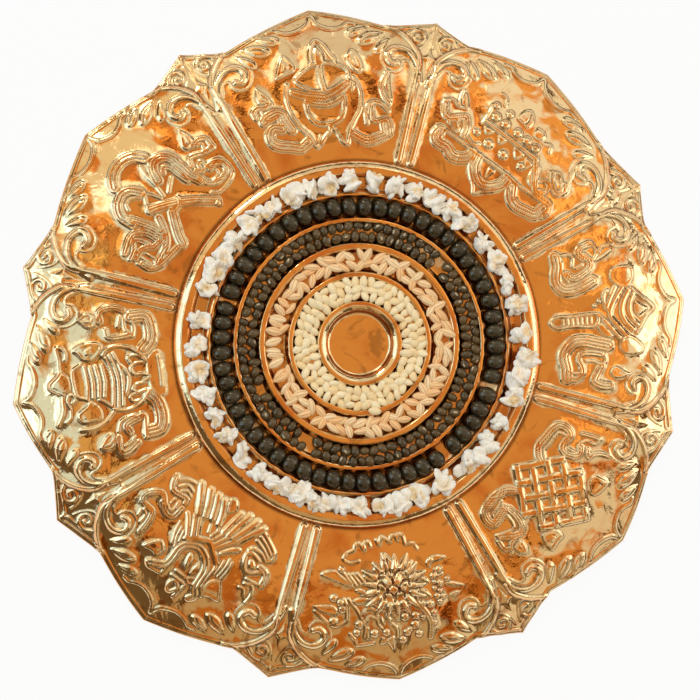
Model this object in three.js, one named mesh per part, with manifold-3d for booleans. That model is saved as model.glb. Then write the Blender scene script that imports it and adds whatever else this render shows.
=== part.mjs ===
// A mandala plate: a lotus of beaten brass sheet that stands on its petal tips, a spun brass disc
// with five ridges and a well soldered on top of it, and offerings of popcorn, beans, barley and
// rice laid in the disc's channels. Millimetres, +Z up, the origin on the table under the well.
import * as THREE from "three";
import { mergeVertices } from "three/addons/utils/BufferGeometryUtils.js";
import Module from "manifold-3d";

const wasm = await Module();
wasm.setup();

// Lotus skirt: outline
const TIP_R = 152.5;
const SMALL_TIP_BACK = 1; // how far the small petals' tips lie in from the large ones' circle
const NOTCH_DEPTH = 8.5;
const LARGE_PETAL_DEG = [8, 54.6, 98.3, 142.7, 190, 232.2, 277.3, 323.9];
const SMALL_PETAL_DEG = [29.4, 76, 121.7, 167.3, 210.4, 255.1, 300.2, 344.8];
const NOTCH_SHARE = 0.64; // a notch's place on the way from a large tip to a small one
const LARGE_EDGE_BULGE = 1;
const SMALL_EDGE_BULGE = -0.3;

// Lotus skirt: section
const FLANGE_Z = 12.6; // top of the flat ring that the disc stands on
const SHEET = 1;
const HOLLOW_ROWS = [0, 0.12, 0.34, 0.56, 0.72, 0.86, 1];
const HEM = 2.4; // depth of the edge that is turned down
const TIP_DRESSED = 0.5; // filed off each large tip's hem, so that it stands flat
const FLAT_BEYOND_DISC = 4;
const DROOP_POWER = 2.5;
const FLANGE_LAP = 7; // how far the flange reaches in under the disc
const SMALL_PETAL_SINK = 0.6;

// Ribs along the petals' sides
const RIB_W = 3.6;
const RIB_H = 1.2;
const RIB_CREST = 0.5; // the share of the width that the rib's crest takes
const RIB_OUT = 2.9; // from a small petal's axis to the middle of the rib beside it
const RIB_START_GAP = 1;
const RIB_END_LEN = 2.2;
const RIB_BEND_FROM_RIM = 34;
const RIB_MIDDLE = 0.55; // the share of a rib's straight run where the sheet has one more row
const RIB_RIM_DEG = 0.2; // how far a rib's inner side stays off the notch
const RIM_ROWS = [0.3, 0.55, 0.8, 1]; // shares of the way from the bend to the rim
const PETAL_FILL = [0.35, 0.75]; // shares of the way from a petal's axis to its rib

// Disc: section, from the well outwards
const DISC_WALL = 0.8;
const DISC_H = 4;
const SEAT_GAP = 0.3;
const CHANNEL_DEPTH = 2.7;
const WELL_R = 14.05;
const WELL_DEPTH = 5;
const WELL_WALL_RUN = 2.55;
const WELL_RIM_W = 2;
const WELL_RIM_RUN = 1;
const WELL_RIM_ROUND = 0.25;
const RICE_CHANNEL = 9;
const BARLEY_CHANNEL = 7.4;
const SMALL_BEAN_CHANNEL = 7.2;
const BLACK_BEAN_CHANNEL = 8.3;
const POPCORN_CHANNEL = 5.3;
const RIDGES = {
  rice: { inRun: 0.7, top: 2.2, outRun: 1.2 },
  barley: { inRun: 1.6, top: 2.4, outRun: 1.7 },
  smallBean: { inRun: 0.3, top: 2.1, outRun: 1 },
  blackBean: { inRun: 0.2, top: 1.6, outRun: 1.8 },
  popcorn: { inRun: 0.9, top: 2.9, outRun: 3.6 },
};
const DISC_SIDES = 36;
const UNDERSIDE_SLACK = 0.35; // the underside of a ridge is pressed less sharply than its top

// Offerings
const POPCORN_DEG = [
  4, 14, 22, 30, 39, 49, 56, 62.5, 70, 77.5, 85, 94, 101.5, 107.5, 115, 123, 128.5, 134.5, 141,
  147.5, 153.5, 160.5, 172, 181, 190, 198.5, 207, 214.5, 223, 232, 239.5, 247, 252.5, 258, 264,
  270, 278, 284.5, 291.5, 301, 311, 316.5, 322.5, 331, 341, 348, 355,
];
const POPCORN = {
  waist: { up: 0.4, over: 0, share: 0.7, jitter: 0 },
  belly: { up: 2, over: 2.4, share: 1, jitter: 0.35 },
  shoulder: { up: 4.2, over: 0.9, share: 0.75, jitter: 0.35 },
  height: 5.4,
  longest: 11,
  sway: 0.6,
  sides: 6,
};
const BLACK_BEAN = { along: 6.7, thick: 5.6, lean: 0, sway: 6, sides: 5, bellies: [-0.2, 0.2], patch: 0.5 };
const SMALL_BEAN = { along: 4, thick: 3.4, lean: 0, sway: 14, sides: 4, bellies: [0], patch: 0.4 };
const BARLEY = { along: 3.05, thick: 2.8, lean: 22, sway: 12, sides: 4, bellies: [0], patch: 0.3 };
const RICE = { along: 3.4, thick: 2.4, lean: 34, sway: 14, sides: 4, bellies: [0], patch: 0.3 };
const ROW_GAP = 0.3;
const BLACK_BEAN_BREAKS = [{ deg: 160, open: 0.6 }, { deg: 307, open: 2.6 }, { deg: 343, open: 1.4 }];
const SMALL_BEAN_BREAKS = [{ deg: 205, open: 2 }, { deg: 245, open: 3.6 }];
const BARLEY_BREAKS = [{ deg: 222, open: 0.6 }];
const RICE_BREAKS = [{ deg: 15, open: 0.6 }];
const SEED = 20;

const TURN = 360;
const CLOSE_DEG = 1e-9;
const rad = (deg) => (deg * Math.PI) / 180;
const degrees = (radians) => (radians * 180) / Math.PI;
const lerp = (a, b, t) => a + (b - a) * t;
const clamp = (x, low, high) => Math.min(high, Math.max(low, x));
const smooth = (t) => t * t * (3 - 2 * t);

// Finishes
const finish = (color, roughness, metalness) =>
  new THREE.MeshStandardMaterial({ color, roughness, metalness });
const BRASS = finish(0xd98a3a, 0.25, 1);
const POPCORN_FINISH = finish(0xf6f1e4, 0.9, 0);
const BLACK_BEAN_FINISH = finish(0x1b1a15, 0.35, 0);
const SMALL_BEAN_FINISH = finish(0x2e261c, 0.45, 0);
const BARLEY_FINISH = finish(0xe3bd85, 0.7, 0);
const RICE_FINISH = finish(0xf2e0b4, 0.55, 0);

// A repeatable stream of numbers from 0 to 1, and the same from -1 to 1
function stream(seed) {
  let state = seed;
  return () => {
    state = (state * 1664525 + 1013904223) % 4294967296;
    return state / 4294967296;
  };
}
const either = (next) => 2 * next() - 1;

// A closed geometry as a solid
function solidOf(geometry) {
  const bare = geometry.clone();
  bare.deleteAttribute("normal");
  bare.deleteAttribute("uv");
  const merged = mergeVertices(bare, 1e-4);
  const index = merged.index.array;
  const kept = [];
  for (let i = 0; i < index.length; i += 3) {
    const [a, b, c] = [index[i], index[i + 1], index[i + 2]];
    if (a !== b && b !== c && c !== a) kept.push(a, b, c);
  }
  return new wasm.Manifold(
    new wasm.Mesh({
      numProp: 3,
      vertProperties: merged.attributes.position.array,
      triVerts: new Uint32Array(kept),
    }),
  );
}

// A solid as a named mesh in its finish
function meshOf(name, solid, material) {
  const { vertProperties, triVerts } = solid.getMesh();
  const geometry = new THREE.BufferGeometry()
    .setAttribute("position", new THREE.BufferAttribute(vertProperties, 3))
    .setIndex(new THREE.BufferAttribute(triVerts, 1));
  geometry.computeVertexNormals();
  const mesh = new THREE.Mesh(geometry, material);
  mesh.name = name;
  return mesh;
}

// A ring of columns, each a closed loop of points, joined side by side into one solid
function loftRound(columns) {
  const points = columns.flat();
  const rows = columns[0].length;
  const faces = [];
  columns.forEach((_, i) => {
    const here = i * rows;
    const next = ((i + 1) % columns.length) * rows;
    for (let j = 0; j < rows; j++) {
      const k = (j + 1) % rows;
      faces.push(here + j, next + j, next + k, here + j, next + k, here + k);
    }
  });
  const geometry = new THREE.BufferGeometry().setFromPoints(points);
  geometry.setIndex(faces);
  return solidOf(geometry);
}

// A round solid from its half section, given from the axis outwards and back
function turned(section, sides) {
  const points = section.map(([r, z]) => new THREE.Vector2(r, z)).reverse();
  return solidOf(new THREE.LatheGeometry(points, sides).rotateX(Math.PI / 2));
}

const polar = (r, deg, z) => new THREE.Vector3(r * Math.cos(rad(deg)), r * Math.sin(rad(deg)), z);

// The disc's radii, summed from the well outwards
const RIM_IN = WELL_R + WELL_WALL_RUN;
const RIM_OUT = RIM_IN + WELL_RIM_W;
const channelStart = {};
const ridgeFoot = {};
let reach = RIM_OUT + WELL_RIM_RUN;
const CHANNELS = [
  ["rice", RICE_CHANNEL],
  ["barley", BARLEY_CHANNEL],
  ["smallBean", SMALL_BEAN_CHANNEL],
  ["blackBean", BLACK_BEAN_CHANNEL],
  ["popcorn", POPCORN_CHANNEL],
];
for (const [name, width] of CHANNELS) {
  const { inRun, top, outRun } = RIDGES[name];
  channelStart[name] = reach;
  ridgeFoot[name] = reach + width;
  reach += width + inRun + top + outRun;
}
const DISC_R = reach;
const DISC_FOOT_Z = FLANGE_Z + SEAT_GAP;
const RIDGE_Z = DISC_FOOT_Z + DISC_H;
const FLOOR_Z = RIDGE_Z - CHANNEL_DEPTH;
const WELL_Z = RIDGE_Z - WELL_DEPTH;
const OPENING_R = DISC_R - FLANGE_LAP;

function mandalaDisc() {
  const top = [
    [0, WELL_Z],
    [WELL_R, WELL_Z],
    [RIM_IN, RIDGE_Z - WELL_RIM_ROUND],
    [(RIM_IN + RIM_OUT) / 2, RIDGE_Z],
    [RIM_OUT, RIDGE_Z - WELL_RIM_ROUND],
    [RIM_OUT + WELL_RIM_RUN, FLOOR_Z],
  ];
  const under = [
    [0, WELL_Z - DISC_WALL],
    [WELL_R + DISC_WALL, WELL_Z - DISC_WALL],
    [(RIM_IN + RIM_OUT) / 2, RIDGE_Z - DISC_WALL - UNDERSIDE_SLACK],
    [RIM_OUT + WELL_RIM_RUN - DISC_WALL / 2, FLOOR_Z - DISC_WALL],
  ];
  for (const [name] of CHANNELS) {
    const { inRun, top: crest, outRun } = RIDGES[name];
    const foot = ridgeFoot[name];
    const last = name === "popcorn";
    top.push([foot, FLOOR_Z]);
    top.push([foot + inRun, RIDGE_Z]);
    top.push([foot + inRun + crest, RIDGE_Z]);
    top.push([foot + inRun + crest + outRun, last ? DISC_FOOT_Z : FLOOR_Z]);
    under.push([foot + DISC_WALL / 2, FLOOR_Z - DISC_WALL]);
    under.push([foot + inRun + crest / 2, RIDGE_Z - DISC_WALL - UNDERSIDE_SLACK]);
    if (last) under.push([DISC_R - 2 * DISC_WALL, DISC_FOOT_Z]);
    else under.push([foot + inRun + crest + outRun - DISC_WALL / 2, FLOOR_Z - DISC_WALL]);
  }
  return turned([...top, ...under.reverse()], DISC_SIDES);
}

// An entry of a round list of bearings, counted on past its end
const bearingAt = (list, k) => list[k % list.length] + TURN * Math.floor(k / list.length);

// The rim's corners in order: large tip, notch, small tip, notch
const NOTCH_R = TIP_R - NOTCH_DEPTH;
const RIM_CORNERS = LARGE_PETAL_DEG.flatMap((large, k) => {
  const small = SMALL_PETAL_DEG[k];
  const nextLarge = bearingAt(LARGE_PETAL_DEG, k + 1);
  return [
    { deg: large, r: TIP_R, bulge: LARGE_EDGE_BULGE },
    { deg: lerp(large, small, NOTCH_SHARE), r: NOTCH_R, bulge: SMALL_EDGE_BULGE },
    { deg: small, r: TIP_R - SMALL_TIP_BACK, bulge: SMALL_EDGE_BULGE },
    { deg: lerp(nextLarge, small, NOTCH_SHARE), r: NOTCH_R, bulge: LARGE_EDGE_BULGE },
  ];
});
const CORNER_DEG = RIM_CORNERS.map((corner) => corner.deg);

// The rim's radius at a bearing: a straight edge from corner to corner, slightly bowed
function rimRadius(bearing) {
  const first = CORNER_DEG[0];
  const deg = first + ((((bearing - first) % TURN) + TURN) % TURN);
  const at = CORNER_DEG.findLastIndex((corner) => corner <= deg + CLOSE_DEG);
  const a = RIM_CORNERS[at];
  const b = { r: RIM_CORNERS[(at + 1) % RIM_CORNERS.length].r, deg: bearingAt(CORNER_DEG, at + 1) };
  const chord =
    (a.r * b.r * Math.sin(rad(b.deg - a.deg))) /
    (a.r * Math.sin(rad(deg - a.deg)) + b.r * Math.sin(rad(b.deg - deg)));
  const t = (deg - a.deg) / (b.deg - a.deg);
  return chord + a.bulge * 4 * t * (1 - t);
}

// The sheet's top, which falls ever more steeply from the flat ring round the disc
const FLAT_R = DISC_R + FLAT_BEYOND_DISC;
const TIP_TOP_Z = HEM - TIP_DRESSED;
function sheetTop(r) {
  const t = Math.max(0, (r - FLAT_R) / (TIP_R - FLAT_R));
  return FLANGE_Z - (FLANGE_Z - TIP_TOP_Z) * t ** DROOP_POWER;
}

// The petals' sides: each rib runs straight out, then leans over to the notch in the rim
const RIB_BEND_R = TIP_R - RIB_BEND_FROM_RIM;
function ribBearing(large, small, r) {
  const notch = lerp(large, small, NOTCH_SHARE);
  const side = Math.sign(large - small);
  const t = clamp((r - RIB_BEND_R) / (NOTCH_R - RIB_BEND_R), 0, 1);
  return lerp(small + side * degrees(RIB_OUT / r), notch, t * t);
}

const RIB_R = DISC_R + RIB_START_GAP;
const RIB_MIDDLE_R = lerp(RIB_R, RIB_BEND_R, RIB_MIDDLE);
const STRAIGHT_ROWS = [OPENING_R, RIB_R, RIB_R + RIB_END_LEN, RIB_MIDDLE_R, RIB_BEND_R];
const LAST_ROW = STRAIGHT_ROWS.length + RIM_ROWS.length - 1;

// One column of the sheet's top, whose bearing changes with the radius
function topColumn(bearing, height) {
  const rim = rimRadius(bearing(NOTCH_R));
  const radii = [...STRAIGHT_ROWS, ...RIM_ROWS.map((t) => lerp(RIB_BEND_R, rim, t))];
  return radii.map((r, row) => {
    const share = row < STRAIGHT_ROWS.length ? 0 : RIM_ROWS[row - STRAIGHT_ROWS.length];
    return { r, bearing: bearing(share === 1 ? NOTCH_R : r), z: sheetTop(r) + height(row, share) };
  });
}

// The columns on one side of a large petal, from its axis to the small petal's axis
function halfPetal(large, small) {
  const side = Math.sign(small - large);
  const rib = (r) => ribBearing(large, small, r);
  const offRib = (mm) => (r) => rib(r) + side * degrees(mm / r);
  const raised = (row) => (row > 1 && row < LAST_ROW ? RIB_H : 0);
  const sunk = (row, share) => -SMALL_PETAL_SINK * smooth(share);
  const level = () => 0;
  const inner = offRib(-RIB_W / 2);
  const outer = offRib(RIB_W / 2);
  const crest = (RIB_W * RIB_CREST) / 2;
  const notch = lerp(large, small, NOTCH_SHARE);
  const meeting = (bearing, atRim) => (r) => (r >= NOTCH_R ? atRim : bearing(r));
  return [
    ...PETAL_FILL.map((t) => topColumn((r) => lerp(large, inner(r), t), level)),
    topColumn(inner, level),
    topColumn(meeting(offRib(-crest), notch - side * RIB_RIM_DEG), raised),
    topColumn(meeting(offRib(crest), notch), (row, share) => raised(row) + sunk(row, share) / 3),
    topColumn(outer, sunk),
    topColumn((r) => lerp(outer(r), small, 0.5), sunk),
    topColumn(() => small, sunk),
  ];
}

// The petals' top and hem, closed below the table
const HEM_INSET = 3 * SHEET;
const UNDER_Z = -1;
function petalColumn(column) {
  const rim = column.at(-1);
  const hemZ = sheetTop(rim.r) - HEM;
  return [
    polar(OPENING_R, column[0].bearing, UNDER_Z),
    polar(rim.r - HEM_INSET, rim.bearing, hemZ),
    polar(rim.r, rim.bearing, hemZ),
    ...column.map(({ r, bearing, z }) => polar(r, bearing, z)).reverse(),
  ];
}

// The space under the sheet, which the hem goes round
function hollowColumn(deg) {
  const inside = OPENING_R - HEM_INSET;
  const rim = rimRadius(deg) - SHEET;
  const roof = (r) => sheetTop(r) - SHEET - (SMALL_PETAL_SINK / 2) * smooth(r / TIP_R);
  return [
    polar(inside, deg, 2 * UNDER_Z),
    polar(rim, deg, 2 * UNDER_Z),
    ...HOLLOW_ROWS.map((t) => lerp(inside, rim, t)).map((r) => polar(r, deg, roof(r))).reverse(),
  ];
}

// The skirt, hollowed from below and dressed flat under the large tips
function lotusSkirt() {
  const columns = LARGE_PETAL_DEG.flatMap((large, k) => {
    const small = SMALL_PETAL_DEG[k];
    const back = halfPetal(bearingAt(LARGE_PETAL_DEG, k + 1), small).slice(0, -1).reverse();
    return [topColumn(() => large, () => 0), ...halfPetal(large, small), ...back];
  });
  const hollowBearings = CORNER_DEG.flatMap((deg, i) => [
    deg,
    (deg + bearingAt(CORNER_DEG, i + 1)) / 2,
  ]);
  const table = new THREE.BoxGeometry(3 * TIP_R, 3 * TIP_R, HEM);
  table.translate(0, 0, -HEM / 2);
  return loftRound(columns.map(petalColumn))
    .subtract(loftRound(hollowBearings.map(hollowColumn)))
    .subtract(solidOf(table));
}

// A row of touching grains as one chain: each swells from the patch where it meets the last one
function grainRow(radius, halfAcross, from, to, grain, next) {
  const { along, thick, lean, sway, sides, bellies, patch } = grain;
  const count = Math.round((rad(to - from) * radius) / along);
  const step = (to - from) / count;
  const middle = FLOOR_Z + SEAT_GAP + thick / 2;
  const sectionAt = (bearing, share, turn) =>
    Array.from({ length: sides }, (_, i) => {
      const angle = rad((TURN * i) / sides);
      const out = halfAcross * share * Math.cos(angle);
      const lag = degrees(Math.atan((out * Math.tan(rad(turn))) / (radius + out)));
      return polar(radius + out, bearing + lag, middle + (thick / 2) * share * Math.sin(angle));
    });
  const sections = [sectionAt(from, patch, lean)];
  for (let i = 0; i < count; i++) {
    const centre = from + (i + 0.5) * step;
    const turn = lean + sway * either(next);
    bellies.forEach((share) => sections.push(sectionAt(centre + share * step, 1, turn)));
    sections.push(sectionAt(centre + 0.5 * step, patch, lean));
  }
  return chain(sections);
}

// Equal sections joined one after another, with both ends closed
function chain(sections) {
  const sides = sections[0].length;
  const faces = [];
  for (let k = 0; k < sections.length - 1; k++) {
    for (let i = 0; i < sides; i++) {
      const j = (i + 1) % sides;
      const [here, next] = [k * sides, (k + 1) * sides];
      faces.push(here + i, next + i, next + j, here + i, next + j, here + j);
    }
  }
  const end = (sections.length - 1) * sides;
  for (let i = 1; i < sides - 1; i++) {
    faces.push(0, i, i + 1);
    faces.push(end, end + i + 1, end + i);
  }
  const geometry = new THREE.BufferGeometry().setFromPoints(sections.flat());
  geometry.setIndex(faces);
  return solidOf(geometry);
}

// Every row of one channel, cut into arcs at the breaks
function rowsOf(name, label, width, rows, grain, breaks, look, seed) {
  const next = stream(seed);
  const across = (width - 2 * SEAT_GAP - (rows - 1) * ROW_GAP) / rows;
  const meshes = [];
  for (let row = 0; row < rows; row++) {
    const radius = channelStart[name] + SEAT_GAP + across / 2 + row * (across + ROW_GAP);
    const leaning = { ...grain, lean: row % 2 ? -grain.lean : grain.lean };
    breaks.forEach((gap, i) => {
      const ends = breaks.map(({ deg }) => deg);
      const openDeg = ({ open }) => degrees(open / 2 / radius);
      const from = gap.deg + openDeg(gap);
      const to = bearingAt(ends, i + 1) - openDeg(breaks[(i + 1) % breaks.length]);
      const rowLabel = rows > 1 ? `${label}_row_${row + 1}` : `${label}_row`;
      const full = breaks.length > 1 ? `${rowLabel}_arc_${i + 1}` : rowLabel;
      meshes.push(meshOf(full, grainRow(radius, across / 2, from, to, leaning, next), look));
    });
  }
  return meshes;
}

// A popped kernel: a foot in the channel, a waist between the ridges and a lumpy head above them
function popcorn(bearing, before, after, next) {
  const { sides, sway, height, longest } = POPCORN;
  const centre = channelStart.popcorn + POPCORN_CHANNEL / 2;
  const narrow = POPCORN_CHANNEL / 2 - SEAT_GAP;
  const room = (gapDeg) => Math.min(longest / 2, (rad(gapDeg) / 2) * centre - SEAT_GAP / 2);
  const level = ({ up, over, share, jitter }) =>
    Array.from({ length: sides }, (_, i) => {
      const turn = rad((TURN / sides) * (i + 0.5));
      const swell = 1 - jitter * next();
      const out = -(narrow + over) * Math.sin(turn) * swell;
      const along = room(Math.cos(turn) < 0 ? before : after) * share * Math.cos(turn) * swell;
      return new THREE.Vector3(out, along, RIDGE_Z + up + (jitter ? sway * next() : 0));
    });
  const levels = [level(POPCORN.waist), level(POPCORN.belly), level(POPCORN.shoulder)];
  const foot = new THREE.Vector3(0, 0, FLOOR_Z + SEAT_GAP);
  const crown = new THREE.Vector3(either(next), either(next), RIDGE_Z + height + sway * either(next));
  const points = [foot, ...levels.flat(), crown];
  const faces = [];
  for (let i = 0; i < sides; i++) {
    const j = (i + 1) % sides;
    faces.push(0, 1 + j, 1 + i);
    for (let k = 0; k < levels.length - 1; k++) {
      const [low, high] = [1 + k * sides, 1 + (k + 1) * sides];
      faces.push(low + i, high + j, high + i, low + i, low + j, high + j);
    }
    const top = 1 + (levels.length - 1) * sides;
    faces.push(top + i, top + j, points.length - 1);
  }
  const geometry = new THREE.BufferGeometry().setFromPoints(points);
  geometry.setIndex(faces);
  geometry.translate(centre, 0, 0);
  return solidOf(geometry.rotateZ(rad(bearing)));
}

const plate = new THREE.Group();
plate.add(meshOf("lotus_skirt", lotusSkirt(), BRASS));
plate.add(meshOf("mandala_disc", mandalaDisc(), BRASS));
plate.add(
  ...rowsOf("rice", "rice", RICE_CHANNEL, 2, RICE, RICE_BREAKS, RICE_FINISH, SEED),
  ...rowsOf("barley", "barley", BARLEY_CHANNEL, 1, BARLEY, BARLEY_BREAKS, BARLEY_FINISH, SEED + 1),
  ...rowsOf(
    "smallBean", "small_bean", SMALL_BEAN_CHANNEL, 2, SMALL_BEAN, SMALL_BEAN_BREAKS,
    SMALL_BEAN_FINISH, SEED + 2,
  ),
  ...rowsOf(
    "blackBean", "black_bean", BLACK_BEAN_CHANNEL, 1, BLACK_BEAN, BLACK_BEAN_BREAKS,
    BLACK_BEAN_FINISH, SEED + 3,
  ),
);
const kernelStream = stream(SEED + 4);
POPCORN_DEG.forEach((bearing, i) => {
  const before = bearing - bearingAt(POPCORN_DEG, i + POPCORN_DEG.length - 1) + TURN;
  const after = bearingAt(POPCORN_DEG, i + 1) - bearing;
  const name = `popcorn_${String(i + 1).padStart(2, "0")}`;
  plate.add(meshOf(name, popcorn(bearing, before, after, kernelStream), POPCORN_FINISH));
});

export default plate;
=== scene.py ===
"""A beaten brass mandala plate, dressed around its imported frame.

A lotus of eight large and eight small petals is chased in one drooping sheet. A ringed disc stands
on it, with popped corn, beans, barley and rice laid in its channels. Sizes are in millimetres and
bearings in degrees, and both are converted where a mesh is written.
"""

import logging
import math
import random
import re
from dataclasses import dataclass
from enum import Enum

import bmesh
import bpy
import numpy as np
from mathutils import Matrix, Vector

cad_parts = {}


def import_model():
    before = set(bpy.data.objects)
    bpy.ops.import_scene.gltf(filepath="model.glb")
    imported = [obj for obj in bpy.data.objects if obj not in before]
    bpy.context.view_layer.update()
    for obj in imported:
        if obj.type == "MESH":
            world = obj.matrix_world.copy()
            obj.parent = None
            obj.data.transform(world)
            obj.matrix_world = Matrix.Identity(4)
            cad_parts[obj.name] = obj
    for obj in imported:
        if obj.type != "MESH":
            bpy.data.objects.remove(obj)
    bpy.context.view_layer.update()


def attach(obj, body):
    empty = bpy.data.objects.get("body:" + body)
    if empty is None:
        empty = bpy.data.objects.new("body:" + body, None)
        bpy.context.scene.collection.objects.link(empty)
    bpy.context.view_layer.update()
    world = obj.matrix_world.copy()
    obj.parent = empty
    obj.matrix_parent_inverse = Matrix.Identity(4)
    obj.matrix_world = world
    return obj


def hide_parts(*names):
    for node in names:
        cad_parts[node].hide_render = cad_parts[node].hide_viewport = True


log = logging.getLogger("mandala_plate")

MM = 0.001
FULL_TURN = 2.0 * math.pi
ORIGIN = (0.0, 0.0, 0.0)
CHANNEL_FLOOR_Z = 14.2
HALF_PETAL = 22.5  # degrees from a large petal's axis to the line between two petals
Colour = tuple[float, float, float, float]
Span = tuple[float, float]
Swell = tuple[float, int, float]
Socket = bpy.types.NodeSocket


class Slot(Enum):
    """The material slots."""

    BRASS = "brass"
    POPCORN = "popcorn"
    BLACK_BEAN = "black_bean"
    SMALL_BEAN = "small_bean"
    BARLEY = "barley"
    RICE = "rice"


class Mark(Enum):
    """What shows on a seed's skin: how many lines run round it, then where a line fades across and
    its strength, and where it fades towards the seed's ends and what is left of it there."""

    SEAM = (7.0, (0.02, 0.13, 0.8), (0.26, 0.44, 0.1))
    EYE = (1.0, (0.024, 0.042, 1.0), (0.07, 0.12, 0.0))
    PLAIN = None


def lerp(low: float, high: float, share: float) -> float:
    """Returns the value a share of the way from low to high."""
    return low + (high - low) * share


def smooth(low: float, high: float, value: np.ndarray) -> np.ndarray:
    """Returns a smooth ramp from 0 at low to 1 at high, which may be below low."""
    share = np.clip((value - low) / (high - low), 0.0, 1.0)
    return share * share * (3.0 - 2.0 * share)


def plan(radius: np.ndarray, bearing: np.ndarray) -> tuple[np.ndarray, np.ndarray]:
    """Returns x and y at radii and bearings in degrees."""
    return radius * np.cos(np.radians(bearing)), radius * np.sin(np.radians(bearing))


def srgb(*levels: int) -> Colour:
    """Turns a screen colour into a linear one.

    Args:
        levels: Red, green and blue from 0 to 255.

    Returns:
        The linear colour with an alpha of 1.
    """
    shares = [level / 255.0 for level in levels]
    linear = [share / 12.92 if share <= 0.04045 else ((share + 0.055) / 1.055) ** 2.4
              for share in shares]
    return (*linear, 1.0)


def drift(x: np.ndarray, y: np.ndarray, length: float, seed: int, waves: int = 9) -> np.ndarray:
    """Makes a gentle random swell, the same wherever two pieces meet.

    Args:
        x: Plan places in mm.
        y: Plan places in mm.
        length: The usual wavelength in mm.
        seed: Picks the swell.
        waves: How many plane waves are summed.

    Returns:
        Heights of about -1 to 1.
    """
    draw = random.Random(seed)
    total = np.zeros_like(x)
    for _ in range(waves):
        turn = draw.uniform(0.0, FULL_TURN)
        rate = FULL_TURN / (length * draw.uniform(0.6, 1.6))
        phase = draw.uniform(0.0, FULL_TURN)
        total += np.sin(rate * (x * math.cos(turn) + y * math.sin(turn)) + phase)
    return total / math.sqrt(waves)


def box_blur(values: np.ndarray, reach: int) -> np.ndarray:
    """Averages a grid over a square window.

    Args:
        values: The grid.
        reach: Half the window in cells.

    Returns:
        The averaged grid.
    """
    sums = np.cumsum(np.cumsum(np.pad(values, reach, mode="edge"), 0), 1)
    sums = np.pad(sums, ((1, 0), (1, 0)))
    window = 2 * reach + 1
    rows, columns = values.shape
    total = (sums[window : window + rows, window : window + columns]
             - sums[:rows, window : window + columns]
             - sums[window : window + rows, :columns] + sums[:rows, :columns])
    return total / window**2


# ---- finishes


class Graph:
    """A material's node tree while it is wired."""

    def __init__(self, name: str) -> None:
        """Starts an empty material.

        Args:
            name: The material's name.
        """
        self.material = bpy.data.materials.new(name)
        self.material.use_nodes = True
        self.tree = self.material.node_tree
        self.tree.nodes.clear()

    def add(self, kind: str, inputs: dict | None = None, **settings: object) -> bpy.types.Node:
        """Adds a node.

        Args:
            kind: The node's type without its ShaderNode prefix.
            inputs: Values or output sockets by input name or number.
            settings: The node's own properties.

        Returns:
            The node.
        """
        node = self.tree.nodes.new("ShaderNode" + kind)
        for key, value in settings.items():
            setattr(node, key, value)
        for key, value in (inputs or {}).items():
            if isinstance(value, bpy.types.NodeSocket):
                self.tree.links.new(value, node.inputs[key])
            else:
                node.inputs[key].default_value = value
        return node

    def noise(self, place: Socket, scale: float, detail: float = 3.0,
              stretch: float = 0.0) -> Socket:
        """Returns a noise pattern of so many patches per metre, octaves and distortion."""
        return self.add("TexNoise", {"Vector": place, "Scale": scale, "Detail": detail,
                                     "Distortion": stretch}).outputs["Fac"]

    def ramp(self, level: Socket, low: float, high: float, start: float = 0.0,
             end: float = 1.0) -> Socket:
        """Returns a level mapped smoothly, so that low becomes start and high becomes end."""
        return self.add("MapRange", {0: level, 1: low, 2: high, 3: start, 4: end},
                        interpolation_type="SMOOTHSTEP").outputs[0]

    def sum(self, kind: str, first: object, second: object = 0.0, clamp: bool = True) -> Socket:
        """Returns a Math node's sum of two levels, kept from 0 to 1 where clamp is set."""
        return self.add("Math", {0: first, 1: second}, operation=kind, use_clamp=clamp).outputs[0]

    def off_half(self, level: Socket) -> Socket:
        """Returns how far a level is from a half."""
        return self.sum("ABSOLUTE", self.sum("SUBTRACT", level, 0.5, clamp=False))

    def mix(self, share: object, first: object, second: object) -> Socket:
        """Returns two colours mixed, with a share of the second."""
        return self.add("Mix", {0: share, 6: first, 7: second}, data_type="RGBA").outputs[2]

    def bump(self, level: Socket, depth: float, under: Socket | None = None) -> Socket:
        """Adds a bump of a real depth.

        Args:
            level: The height pattern, from 0 to 1.
            depth: The depth in mm.
            under: An earlier bump.

        Returns:
            The new normal.
        """
        inputs = {"Height": level, "Distance": depth * MM, "Strength": 1.0}
        if under is not None:
            inputs["Normal"] = under
        return self.add("Bump", inputs).outputs["Normal"]

    def level(self, name: str) -> Socket:
        """Returns a piece's own stored level."""
        return self.add("Attribute", attribute_name=name).outputs["Fac"]

    def place(self) -> Socket:
        """Returns the object's own coordinates."""
        return self.add("TexCoord").outputs["Object"]

    def show(self, shader: bpy.types.Node) -> bpy.types.Material:
        """Closes the tree.

        Args:
            shader: The node that gives the surface.

        Returns:
            The material.
        """
        output = self.add("OutputMaterial")
        self.tree.links.new(shader.outputs[0], output.inputs["Surface"])
        return self.material


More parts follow.
